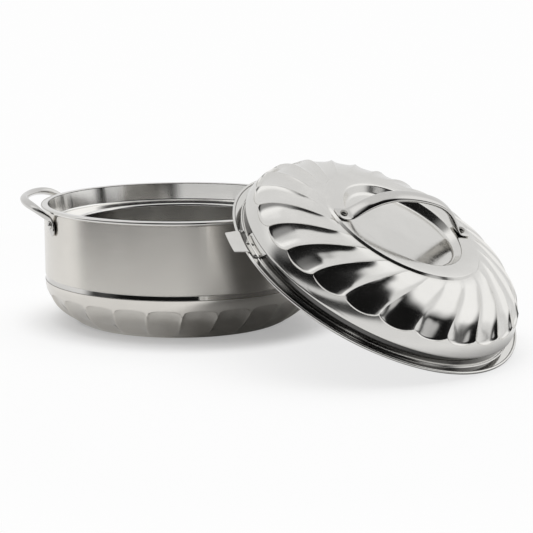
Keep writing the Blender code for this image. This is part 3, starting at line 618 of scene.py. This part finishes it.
def build_rim(material):
    """Flat top ring whose outer edge rolls over the wall."""
    inner_round = 0.3 * MM
    roll_steps = 16
    roll_angle = math.radians(205.0)
    tail_height = 0.9 * MM
    tail_gap = 0.2 * MM
    bottom = POT_HEIGHT - RIM_BEAD_HEIGHT
    roll = RIM_BEAD_HEIGHT / 2.0
    seat = POT_RADIUS - 2.0 * SHEET
    middle = RIM_RADIUS - roll
    inside = RECESS_RADIUS - CLEARANCE
    profile = [Vector((inside, POT_HEIGHT - SHEET)), Vector((inside, POT_HEIGHT - SHEET / 2.0)),
               Vector((RECESS_RADIUS + inner_round, POT_HEIGHT))]
    for step in range(roll_steps + 1):
        angle = math.pi / 2.0 - roll_angle * step / roll_steps
        profile.append(Vector((middle + roll * math.cos(angle), bottom + roll + roll * math.sin(angle))))
    profile += [Vector((POT_RADIUS + tail_gap, bottom + tail_height)), Vector((seat, bottom + tail_height)),
                Vector((seat, POT_HEIGHT - SHEET))]
    bm = turned(profile, True)
    add_piece("rim_bead", bm, material, "pot", ["rim_ring"], flats=True)


def build_liner(material):
    """Inner bowl with its recess, its ledge and the well, and rounded corners between them."""
    top = POT_HEIGHT - SHEET - CLEARANCE
    under_floor = WELL_FLOOR - SHEET
    under_ledge = LEDGE_HEIGHT - SHEET
    well_back = WELL_RADIUS + SHEET
    recess_back = RECESS_RADIUS + SHEET
    inner = rounded([(RECESS_RADIUS, top, 0.0), (RECESS_RADIUS - RECESS_DRAFT, LEDGE_HEIGHT, LEDGE_CORNER),
                     (WELL_RADIUS, LEDGE_HEIGHT, LEDGE_LIP), (WELL_RADIUS, WELL_FLOOR, WELL_CORNER),
                     (0.0, WELL_FLOOR, 0.0)])
    outer = [Vector((0.0, under_floor)), Vector((well_back - WELL_CORNER, under_floor)),
             Vector((well_back, WELL_FLOOR + WELL_CORNER)), Vector((well_back, under_ledge)),
             Vector((recess_back, under_ledge)), Vector((recess_back, top)), Vector((RECESS_RADIUS, top))]
    bm = turned(inner + outer)
    add_piece("liner_bowl", bm, material, "pot", ["inner_liner"], flats=True)


def handle_stations():
    """Half of a pot handle as (angle, radius, height, width, thickness), from its tab's tip to its bar."""
    tab_shares = (
        (1.055, 0.00, 0.30, 0.55),
        (1.050, 0.05, 0.66, 0.85),
        (1.035, 0.16, 0.94, 1.00),
        (1.000, 0.35, 1.00, 1.00),
    )
    arm_shares = (
        (0.985, 0.00, 0.51, 0.37, 0.00),
        (0.960, 0.20, 0.62, 0.77, 0.25),
        (0.915, 0.47, 0.76, 0.95, 0.54),
        (0.830, 0.66, 0.87, 0.99, 0.79),
        (0.700, 0.82, 0.94, 1.00, 0.94),
        (0.520, 0.94, 0.98, 1.00, 1.00),
        (0.270, 1.00, 1.00, 1.00, 1.00),
        (0.000, 1.00, 1.00, 1.00, 1.00),
    )
    tab_radius = POT_RADIUS + CLEARANCE + HANDLE_TAB_THICKNESS / 2.0
    bar_radius = HANDLE_REACH - HANDLE_BAR_WIDTH / 2.0
    bar_height = HANDLE_TOP - HANDLE_BAR_HEIGHT / 2.0
    stations = []
    for angle_share, rise_share, width_share, thickness_share in tab_shares:
        stations.append((HANDLE_HALF_ANGLE * angle_share, tab_radius,
                         blend(HANDLE_TAB_TIP, bar_height, rise_share),
                         HANDLE_TAB_WIDTH * width_share, HANDLE_TAB_THICKNESS * thickness_share))
    for angle_share, reach_share, rise_share, width_share, thickness_share in arm_shares:
        stations.append((HANDLE_HALF_ANGLE * angle_share,
                         blend(tab_radius, bar_radius, reach_share),
                         blend(HANDLE_TAB_TIP, bar_height, rise_share),
                         blend(HANDLE_TAB_WIDTH, HANDLE_BAR_HEIGHT, width_share),
                         blend(HANDLE_TAB_THICKNESS, HANDLE_BAR_WIDTH, thickness_share)))
    return stations


def directed(path, outward_of):
    """Sections of (centre, width direction, thickness direction, width, thickness) along a path."""
    sections = []
    for index, (centre, width, thickness) in enumerate(path):
        before = path[max(index - 1, 0)][0]
        after = path[min(index + 1, len(path) - 1)][0]
        along = (after - before).normalized()
        wide = along.cross(outward_of(centre)).normalized()
        sections.append((centre, wide, wide.cross(along).normalized(), width, thickness))
    return sections


def build_pot_handle(name, turn, node, material):
    """Loop handle: its bar leans outward, and its ends turn down into the riveted tabs."""
    roll_start_share = 0.02
    roll_end_share = 0.20
    half = [(polar(radius, angle, height), width, thickness)
            for angle, radius, height, width, thickness in handle_stations()]
    mirror = [(Vector((centre.x, -centre.y, centre.z)), width, thickness)
              for centre, width, thickness in half[:-1]]

    def outward(centre):
        share = min(abs(math.atan2(centre.y, centre.x)) / HANDLE_HALF_ANGLE, 1.0)
        return polar(1.0, math.copysign(HANDLE_HALF_ANGLE, centre.y) * share, 0.0)

    sections = []
    for centre, wide, thin, width, thickness in directed(half + list(reversed(mirror)), outward):
        inward_share = 1.0 - abs(math.atan2(centre.y, centre.x)) / HANDLE_HALF_ANGLE
        lean = HANDLE_ROLL * smooth_share(inward_share, roll_start_share, roll_end_share)
        roll = Matrix.Rotation(lean, 3, wide.cross(thin))
        sections.append((centre, roll @ wide, roll @ thin, width, thickness))
    piece = add_piece(name, lofted(sections), material, "pot", [node],
                      Matrix.Rotation(turn, 4, "Z"))
    subdivide(piece)


def dome_head(head, crown):
    """Closed dome of a rivet's head, on the plane z = 0, with a small land round its edge."""
    land_share = 0.16
    dome_steps = 8
    land = crown * land_share
    profile = [Vector((0.0, crown))]
    for step in range(1, dome_steps + 1):
        angle = math.pi / 2.0 * step / dome_steps
        profile.append(Vector((head / 2.0 * math.sin(angle), land + (crown - land) * math.cos(angle))))
    profile += [Vector((head / 2.0, 0.0)), Vector((0.0, 0.0))]
    return turned(profile, steps=RIVET_STEPS)


def build_handle_rivets(side, turn, material):
    seat = POT_RADIUS + HANDLE_TAB_THICKNESS + CLEARANCE
    for place, sign in (("front", -1.0), ("back", 1.0)):
        angle = turn + sign * math.cos(turn) * HANDLE_HALF_ANGLE
        facing = polar(1.0, angle, 0.0).to_track_quat("Z", "Y").to_matrix().to_4x4()
        where = Matrix.Translation(polar(seat, angle, HANDLE_RIVET_HEIGHT)) @ facing
        bm = dome_head(HANDLE_RIVET_HEAD, HANDLE_RIVET_CROWN)
        add_piece(side + "_rivet_head_" + place, bm, material, "pot",
                  [side + "_handle_rivet_" + place], where)


# Lid pieces

def crown_point(share):
    """(radius, height) on the crown without its scoops, from the skirt (0) to the plateau's step (1)."""
    swing = CROWN_START + share * (math.pi / 2.0 - CROWN_START)
    run_share = ((math.cos(CROWN_START) - math.cos(swing)) / math.cos(CROWN_START)) ** CROWN_FULLNESS
    rise_share = (math.sin(swing) - math.sin(CROWN_START)) / (1.0 - math.sin(CROWN_START))
    top = PLATEAU_HEIGHT - PLATEAU_STEP
    return (blend(SCOOP_RADIUS, PLATEAU_RADIUS, run_share), blend(SCOOP_HEIGHT, top, rise_share))


def crown_normal(share):
    """Outward direction of the crown, as (radial, vertical)."""
    step = 0.01
    low = max(share - step, 0.0)
    high = min(share + step, 1.0)
    r0, z0 = crown_point(low)
    r1, z1 = crown_point(high)
    length = math.hypot(r1 - r0, z1 - z0)
    return (z1 - z0) / length, (r0 - r1) / length


def skirt_point(height):
    """Radius of the plain skirt at a height: slightly full, and flush with the crown at its top."""
    fullness = 1.35
    share = (height - SKIRT_BOTTOM) / (SCOOP_HEIGHT - SKIRT_BOTTOM)
    return blend(SKIRT_RADIUS, SCOOP_RADIUS, share ** fullness)


def build_dome(material):
    """Upper skin of the lid: hem, plain skirt, turning scoops, step, plateau and dish."""
    columns_per_scoop = 18
    hem_bottom = LID_COLLAR_HEIGHT + CLEARANCE
    hem_top = SKIRT_BOTTOM + 1.0 * MM
    hem_fillet = 0.9 * MM
    step_fillet = 0.7 * MM
    dish_lip = 1.0 * MM
    dish_lip_fillet = 3.0 * MM
    dish_floor_fillet = 5.0 * MM
    skirt_rows = 9
    scoop_rows = 44
    row_crowding = 1.35
    arch_roundness = 0.75
    hollow_sharpness = 3
    settle_share = 0.30
    step_share = 0.05
    fade_shares = (0.60, 1.06)
    turn_crowding = 1.6
    top = PLATEAU_HEIGHT
    dish_floor = top - DISH_DEPTH
    hem = rounded([(SKIRT_RADIUS - SKIRT_HEM, hem_bottom, 0.0), (SKIRT_RADIUS, hem_bottom, hem_fillet),
                   (SKIRT_RADIUS, hem_top, 0.0)])
    cap = rounded([(PLATEAU_RADIUS, top - PLATEAU_STEP, 0.0), (PLATEAU_RADIUS - STEP_RUN, top, step_fillet),
                   (DISH_RADIUS - dish_lip, top, dish_lip_fillet),
                   (DISH_RADIUS - DISH_WALL_RUN, dish_floor, dish_floor_fillet),
                   (0.0, dish_floor, 0.0)])[1:]
    rows = len(hem) + skirt_rows + scoop_rows + 1 + len(cap)

    def place(row, turn):
        angle = LID_SCOOP_START + math.tau * turn
        if row < len(hem):
            radius, height = hem[row]
            return polar(radius, angle, height)
        row -= len(hem)
        phase = (turn * LID_SCOOPS) % 1.0
        across = 2.0 * phase - 1.0
        hollow = 1.0 - abs(across) ** hollow_sharpness
        edge = SCOOP_HEIGHT - LID_SCOOP_ARCH * (1.0 - across * across) ** arch_roundness
        if row < skirt_rows:
            height = blend(hem_top, edge, (row + 1) / (skirt_rows + 1))
            return polar(skirt_point(height), angle, height)
        row -= skirt_rows
        if row <= scoop_rows:
            share = (row / scoop_rows) ** row_crowding
            radius, height = crown_point(share)
            settle = 1.0 - smooth_share(share, 0.0, settle_share)
            height -= (SCOOP_HEIGHT - edge) * settle
            radius += (skirt_point(edge) - SCOOP_RADIUS) * settle
            radial, vertical = crown_normal(share)
            rise = math.sqrt(1.0 - (1.0 - min(share / step_share, 1.0)) ** 2)
            depth = LID_SCOOP_DEPTH * hollow * rise * (1.0 - smooth_share(share, *fade_shares))
            turned_angle = angle + LID_SCOOP_TURN * share ** turn_crowding
            return polar(radius - depth * radial, turned_angle, height - depth * vertical)
        radius, height = cap[row - scoop_rows - 1]
        return polar(radius, angle + LID_SCOOP_TURN, height)

    bm = wrapped(rows, LID_SCOOPS * columns_per_scoop, place)
    add_piece("dome_skin", bm, material, "lid", ["lid_dome"], LID_TURN)


def build_flange(material):
    """Rolled edge, flat flange, a crisp foot ridge and the upright collar."""
    collar_lip = 3.0 * MM
    ridge_top_run = 1.4 * MM
    ridge_run = 2.2 * MM
    bead_steps = 14
    bead_start = math.radians(140.0)
    bead = LID_RADIUS - LID_BEAD
    inner = LID_COLLAR_RADIUS - SHEET
    profile = rounded([(inner - collar_lip, LID_COLLAR_HEIGHT, 0.0),
                       (LID_COLLAR_RADIUS, LID_COLLAR_HEIGHT, 0.8 * MM),
                       (LID_COLLAR_RADIUS, LID_RIDGE, 0.5 * MM),
                       (LID_COLLAR_RADIUS + ridge_top_run, LID_RIDGE, 0.5 * MM),
                       (LID_COLLAR_RADIUS + ridge_run, 0.0, 0.4 * MM), (bead - LID_BEAD, 0.0, 0.0)])
    for step in range(bead_steps + 1):
        angle = bead_start * (1.0 - 2.0 * step / bead_steps)
        profile.append(Vector((bead + LID_BEAD * math.cos(angle), LID_BEAD * math.sin(angle))))
    profile += [Vector((bead - LID_BEAD, -SHEET)), Vector((inner, -SHEET)),
                Vector((inner, LID_COLLAR_HEIGHT - SHEET)),
                Vector((inner - collar_lip, LID_COLLAR_HEIGHT - SHEET))]
    bm = turned(profile, True, FLANGE_STEPS)
    add_piece("flange_ring", bm, material, "lid", ["lid_flange"], LID_TURN, flats=True)


def build_underside(material):
    """Pan that closes the lid's underside."""
    corner = 3.0 * MM
    top = LID_COLLAR_HEIGHT - SHEET - CLEARANCE
    bottom = SHEET - LID_PLUG_DEPTH
    outer = rounded([(LID_PLUG_RADIUS, top, 0.0), (LID_PLUG_RADIUS, -LID_PLUG_DEPTH, corner),
                     (0.0, -LID_PLUG_DEPTH, 0.0)])
    inner = [Vector((0.0, bottom)), Vector((LID_PLUG_RADIUS - corner, bottom)),
             Vector((LID_PLUG_RADIUS - SHEET, top)), Vector((LID_PLUG_RADIUS, top))]
    bm = turned(outer + inner)
    add_piece("underside_pan", bm, material, "lid", ["lid_inner_plate"], LID_TURN,
              flats=True)


def build_lid_handle(material):
    """Arched strap with flat feet, from (run, rise, width, roundness) shares along half of it."""
    station_shares = (
        (1.000, 0.00, 0.70, 0.00),
        (0.985, 0.00, 1.02, 0.00),
        (0.950, 0.00, 1.14, 0.00),
        (0.899, 0.00, 1.16, 0.00),
        (0.845, 0.00, 1.14, 0.05),
        (0.800, 0.06, 1.10, 0.30),
        (0.745, 0.20, 1.04, 0.70),
        (0.665, 0.42, 1.00, 1.00),
        (0.560, 0.64, 1.00, 1.00),
        (0.430, 0.82, 1.00, 1.00),
        (0.270, 0.94, 1.00, 1.00),
        (0.000, 1.00, 1.00, 1.00),
    )
    low = PLATEAU_HEIGHT + CLEARANCE + LID_HANDLE_FOOT_THICKNESS / 2.0
    high = PLATEAU_HEIGHT + LID_HANDLE_RISE - LID_HANDLE_THICKNESS / 2.0
    half = []
    for run_share, rise_share, width_share, round_share in station_shares:
        half.append((Vector((LID_HANDLE_HALF_LENGTH * run_share, 0.0, blend(low, high, rise_share))),
                     LID_HANDLE_WIDTH * width_share,
                     blend(LID_HANDLE_FOOT_THICKNESS, LID_HANDLE_THICKNESS, round_share)))
    mirror = [(Vector((-centre.x, 0.0, centre.z)), width, thickness)
              for centre, width, thickness in half[:-1]]
    sections = []
    path = half + list(reversed(mirror))
    across = Vector((0.0, 1.0, 0.0))
    for index, (centre, width, thickness) in enumerate(path):
        along = (path[min(index + 1, len(path) - 1)][0] - path[max(index - 1, 0)][0]).normalized()
        sections.append((centre, across, along.cross(across).normalized(), width, thickness))
    piece = add_piece("strap_handle", lofted(sections), material, "lid", ["lid_handle"],
                      LID_TURN)
    subdivide(piece)


def build_lid_rivets(material):
    seat = PLATEAU_HEIGHT + LID_HANDLE_FOOT_THICKNESS + CLEARANCE
    for side, sign in (("near", -1.0), ("far", 1.0)):
        where = LID_TURN @ Matrix.Translation((sign * LID_HANDLE_RIVET_RADIUS, 0.0, seat))
        bm = dome_head(LID_RIVET_HEAD, LID_RIVET_CROWN)
        add_piece("strap_rivet_head_" + side, bm, material, "lid",
                  ["lid_handle_rivet_" + side], where)


def build_bracket(name, middle, material):
    """Bent strip: tongue over the bead, flat part on the flange, and a leg up the collar, row by row."""
    tongue_shares = (0.76, 0.74, 0.62)
    columns = 12
    edge_width = 0.25 * MM
    leg = LID_COLLAR_RADIUS + CLEARANCE + SHEET
    flat = CLEARANCE + SHEET
    bead_in = LID_RADIUS - 2.0 * LID_BEAD
    over_bead = LID_BEAD + CLEARANCE + SHEET
    tongue = [BRACKET_HALF_ANGLE * share for share in tongue_shares]
    rows = [(LID_RADIUS + BRACKET_TONGUE_REACH, over_bead - BRACKET_TONGUE_DROP, tongue[2], 0.0),
            (LID_RADIUS, over_bead, tongue[1], 0.0),
            (bead_in, over_bead, tongue[0], 0.0),
            (bead_in - SHEET - CLEARANCE, flat, BRACKET_HALF_ANGLE, 0.0),
            (leg + SHEET, flat, BRACKET_HALF_ANGLE, 0.0),
            (leg, flat + SHEET, BRACKET_LEG_HALF_ANGLE, BRACKET_LEG_SHIFT / 2.0),
            (leg, LID_COLLAR_HEIGHT - CLEARANCE, BRACKET_LEG_HALF_ANGLE, BRACKET_LEG_SHIFT)]

    def place(row, turn):
        radius, height, half_angle, shift = rows[row]
        return polar(radius, middle + shift + (2.0 * turn - 1.0) * half_angle, height)

    bm = wrapped(len(rows), columns, place, False)
    piece = add_piece(name + "_bracket", bm, material, "lid", ["lid_bracket_" + name],
                      LID_TURN)
    sheet = piece.modifiers.new("Sheet", "SOLIDIFY")
    sheet.thickness = SHEET
    sheet.offset = -1.0
    edge = piece.modifiers.new("Edge", "BEVEL")
    edge.width = edge_width
    edge.segments = 2
    edge.limit_method = "ANGLE"


def build_bracket_rivets(name, middle, material):
    inner = LID_COLLAR_RADIUS + SHEET + CLEARANCE
    outer = LID_RADIUS - 2.0 * LID_BEAD - SHEET - CLEARANCE
    seat = SHEET + CLEARANCE
    for place, shift in (("a", -BRACKET_RIVET_ANGLE), ("b", 0.0), ("c", BRACKET_RIVET_ANGLE)):
        where = LID_TURN @ Matrix.Translation(polar((inner + outer) / 2.0, middle + shift, seat))
        bm = dome_head(BRACKET_RIVET_HEAD, BRACKET_RIVET_CROWN)
        add_piece(name + "_bracket_rivet_head_" + place, bm, material, "lid",
                  ["lid_bracket_" + name + "_rivet_" + place], where)


# Studio

def build_world():
    """White studio: a backdrop behind and overhead, a low bright band, three soft boxes and a darker room.

    Mirrored rays see the studio, other rays the lamplight, and the camera a plain white backdrop.
    """
    room_bright = 0.80
    room_dark = 0.007
    box_level = 0.30
    front_box_share = 2.0
    lamp_level = 3.6
    lamp_focus = 5.0
    backdrop = 0.985
    world = bpy.data.worlds.new("studio")
    bpy.context.scene.world = world
    world.use_nodes = True
    nodes = Nodes(world.node_tree)
    where = nodes.add("ShaderNodeTexCoord").outputs["Generated"]
    x, y, z = nodes.axes(where)
    behind = nodes.spread(y, -0.20, 0.05)
    overhead = nodes.spread(z, 0.965, 0.995)
    low_band = nodes.math("MULTIPLY", nodes.spread(z, 0.06, 0.09), nodes.spread(z, 0.21, 0.17))
    low_band = nodes.math("MULTIPLY", low_band, nodes.spread(x, 0.25, 0.0))
    room = nodes.math("MAXIMUM", nodes.math("MAXIMUM", behind, overhead), low_band)
    room = nodes.math("MULTIPLY_ADD", room, room_bright, room_dark)

    def lobe(direction, narrow, wide):
        """Soft patch of light round a direction, between two angles in degrees."""
        return nodes.spread(nodes.facing(where, direction), math.cos(math.radians(wide)),
                            math.cos(math.radians(narrow)))

    right_box = lobe((0.78, 0.28, 0.55), 16.0, 34.0)
    left_box = lobe((-0.62, -0.10, 0.78), 14.0, 32.0)
    front_box = nodes.math("MULTIPLY", lobe((0.90, -0.42, 0.10), 7.0, 13.0), front_box_share)
    boxes = nodes.math("ADD", nodes.math("ADD", right_box, left_box), front_box)
    studio = nodes.math("ADD", room, nodes.math("MULTIPLY", boxes, box_level))
    lamp = nodes.math("MAXIMUM", nodes.facing(where, (-0.10, 0.22, 0.97)), 0.0)
    lamplight = nodes.math("MULTIPLY", nodes.math("POWER", lamp, lamp_focus), lamp_level)
    path, mirrored = nodes.paths()
    seen = nodes.math("MULTIPLY_ADD", mirrored, nodes.math("SUBTRACT", studio, lamplight), lamplight)
    strength = nodes.math("MULTIPLY_ADD", path.outputs["Is Camera Ray"],
                          nodes.math("SUBTRACT", backdrop, seen), seen)
    background = nodes.add("ShaderNodeBackground")
    nodes.feed(background.inputs["Strength"], strength)
    background.inputs["Color"].default_value = (1.0, 1.0, 1.0, 1.0)
    output = nodes.add("ShaderNodeOutputWorld")
    nodes.feed(output.inputs["Surface"], background.outputs[0])


def build_floor():
    """White sheet under the object that keeps its shadow and fades into the backdrop.

    Mirrored in the steel, it carries a painted shade under the lid, and it is darker where the sheet ends on
    the camera's side.
    """
    radius = 8.0
    edge_steps = 96
    sheet_gap = 0.3 * MM
    white = 0.985
    mirror_dimming = -0.15
    sheet_end_dimming = 0.94
    bm = bmesh.new()
    bmesh.ops.create_circle(bm, cap_ends=True, segments=edge_steps, radius=radius)
    mesh = bpy.data.meshes.new("floor")
    bm.to_mesh(mesh)
    bm.free()
    floor = bpy.data.objects.new("floor", mesh)
    floor.location = (0.0, 0.0, -sheet_gap)
    bpy.context.scene.collection.objects.link(floor)
    material = bpy.data.materials.new("floor_white")
    material.use_nodes = True
    nodes = Nodes(material.node_tree)
    where = nodes.add("ShaderNodeTexCoord").outputs["Object"]
    x, y, _ = nodes.axes(where)
    path, mirrored = nodes.paths()
    reach = nodes.length(nodes.math("SUBTRACT", x, FLOOR_MIDDLE), y)
    from_lid = nodes.length(nodes.math("SUBTRACT", x, LID_FLOOR_X),
                            nodes.math("SUBTRACT", y, LID_FLOOR_Y))
    far = nodes.spread(reach, 0.42, 0.72)
    left_strip = nodes.math("MULTIPLY", nodes.spread(x, -0.20, -0.38), nodes.spread(y, -0.17, -0.07))
    left_strip = nodes.math("MULTIPLY", left_strip, nodes.spread(y, 0.20, 0.05, 0.3, 1.0))
    aside = nodes.math("SUBTRACT", 1.0, left_strip)

    paper = nodes.add("ShaderNodeBsdfDiffuse")
    plain = nodes.mix_colour(nodes.noise(where, 300.0, 2.0), grey(0.955), grey(0.975))
    reflected = nodes.mix_colour(aside, grey(0.97), grey(0.95))
    # Painted shade under the lid, seen only in the steel's reflections.
    reflected = nodes.mix_colour(nodes.spread(from_lid, 0.21, 0.13), reflected, grey(0.45))
    nodes.feed(paper.inputs["Color"], nodes.mix_colour(mirrored, plain, reflected))

    sheet_end = nodes.math("MULTIPLY", nodes.spread(reach, 0.62, 0.95), nodes.spread(y, 0.15, -0.25))
    dimmed = nodes.math("MULTIPLY", nodes.math("MULTIPLY", sheet_end, mirrored), sheet_end_dimming)
    glow = nodes.add("ShaderNodeEmission")
    level = nodes.math("MULTIPLY_ADD", nodes.math("MULTIPLY", mirrored, aside), mirror_dimming, white)
    nodes.feed(glow.inputs["Strength"], nodes.math("MULTIPLY", nodes.math("SUBTRACT", 1.0, dimmed), level))

    # More glow away from the pot's foot lightens the floor's cast shadow there, painted light; reflections
    # get it too, except near the lid.
    lift = nodes.spread(nodes.length(x, y), 0.150, 0.195, 0.36, 0.78)
    mirror_lift = nodes.math("MULTIPLY", mirrored, nodes.spread(from_lid, 0.17, 0.26, 0.1, 1.0))
    lifted = nodes.math("MULTIPLY", nodes.math("ADD", mirror_lift, path.outputs["Is Camera Ray"]), lift)
    mixed = nodes.add("ShaderNodeMixShader")
    nodes.feed(mixed.inputs[0], nodes.math("MAXIMUM", far, lifted))
    nodes.feed(mixed.inputs[1], paper.outputs[0])
    nodes.feed(mixed.inputs[2], glow.outputs[0])
    output = nodes.add("ShaderNodeOutputMaterial")
    nodes.feed(output.inputs["Surface"], mixed.outputs[0])
    mesh.materials.append(material)


def build_camera():
    data = bpy.data.cameras.new("camera")
    data.lens = CAMERA_LENS
    data.sensor_width = CAMERA_SENSOR
    data.clip_start = 0.05
    data.clip_end = 50.0
    camera = bpy.data.objects.new("camera", data)
    back = Vector((0.0, -math.cos(CAMERA_ELEVATION), math.sin(CAMERA_ELEVATION)))
    camera.location = CAMERA_TARGET + back * CAMERA_DISTANCE
    camera.rotation_euler = (math.pi / 2.0 - CAMERA_ELEVATION, 0.0, 0.0)
    bpy.context.scene.collection.objects.link(camera)
    bpy.context.scene.camera = camera


def build_references():
    """Empties on the axes of the pot and the lid, which the steel's turned grain follows."""
    pot_axis = bpy.data.objects.new("pot_axis", None)
    lid_axis = bpy.data.objects.new("lid_axis", None)
    lid_axis.matrix_world = LID_TURN
    for item, body in ((pot_axis, "pot"), (lid_axis, "lid")):
        bpy.context.scene.collection.objects.link(item)
        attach(item, body)
    return pot_axis, lid_axis


def keep_node(name, material):
    """Show a CAD node as it is, in a material."""
    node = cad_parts[name]
    node.data.materials.clear()
    node.data.materials.append(material)


pot_axis, lid_axis = build_references()
build_world()
build_floor()
build_camera()

pot_satin = steel("pot_satin_steel", STEEL_WARM, 0.22, pot_axis, grain=0.08, grain_height=COARSE_GRAIN,
                  smudge=0.04, brushed=0.95)
# Bowl: the hollows of its scoops are darkened, a painted shade.
pot_pressed = steel("pot_pressed_steel", STEEL_WARM, 0.11, pot_axis, grain_height=COARSE_GRAIN, smudge=0.04,
                    wisps=0.05, painted_hollow_shade=0.84)
pot_polished = steel("pot_polished_steel", STEEL_BRIGHT, 0.09, pot_axis)
# Liner: the well below the ledge is darkened, a painted shade.
pot_liner = steel("pot_liner_steel", STEEL_LINER_BRIGHTENED, 0.13, pot_axis, grain=0.04, brushed=0.8,
                  painted_shade=(LEDGE_HEIGHT - 3.0 * MM, LEDGE_HEIGHT - 0.5 * MM, 0.72), waves=0.5 * MM)
pot_handle = steel("pot_handle_steel", STEEL_HANDLE, 0.08, pot_axis)
pot_rivet = steel("pot_rivet_steel", STEEL_BRIGHT, 0.10, pot_axis, smudge=0.05)
# Dome: the hem under the skirt is darkened, a painted shadow in the gap above the collar.
lid_pressed = steel("lid_pressed_steel", STEEL_BRIGHT, 0.14, lid_axis, smudge=0.07, wisps=0.05,
                    painted_shade=(SKIRT_BOTTOM - 0.6 * MM, SKIRT_BOTTOM + 0.3 * MM, 0.25))
lid_polished = steel("lid_polished_steel", STEEL_BRIGHT, 0.09, lid_axis)
# Flange: the collar above the flange is darkened, a painted shade in the groove under the skirt.
lid_rim = steel("lid_rim_steel", STEEL_BRIGHT, 0.10, lid_axis, painted_shade=(LID_BEAD + 1.2 * MM, LID_BEAD, 0.16))
lid_handle = steel("lid_handle_steel", STEEL_HANDLE, 0.08, lid_axis)
# Underside pan: satin steel with a painted shade in its darker tint.
lid_satin = steel("lid_satin_steel", STEEL_UNDERSIDE_SHADED, 0.24, lid_axis, grain=0.06, grain_height=COARSE_GRAIN,
                  smudge=0.05)
# Lid rivet heads: a painted dark reflection in their tint.
lid_rivet = steel("lid_rivet_steel", STEEL_RIVET_DARKENED, 0.10, lid_axis, smudge=0.05)
insulation = foam("insulation_foam")

build_wall(pot_satin)
build_band(pot_polished)
build_bowl(pot_pressed)
build_rim(pot_polished)
build_liner(pot_liner)
for side, turn in (("right", 0.0), ("left", math.pi)):
    build_pot_handle(side + "_loop_handle", turn, side + "_handle", pot_handle)
    build_handle_rivets(side, turn, pot_rivet)
build_dome(lid_pressed)
build_flange(lid_rim)
build_underside(lid_satin)
build_lid_handle(lid_handle)
build_lid_rivets(lid_rivet)
for side, middle in zip(("near", "far"), BRACKET_ANGLES):
    build_bracket(side, middle, lid_polished)
    build_bracket_rivets(side, middle, lid_polished)
keep_node("base_plate", pot_satin)
keep_node("pot_insulation", insulation)
keep_node("lid_insulation", insulation)

bpy.context.scene.view_settings.view_transform = "Standard"
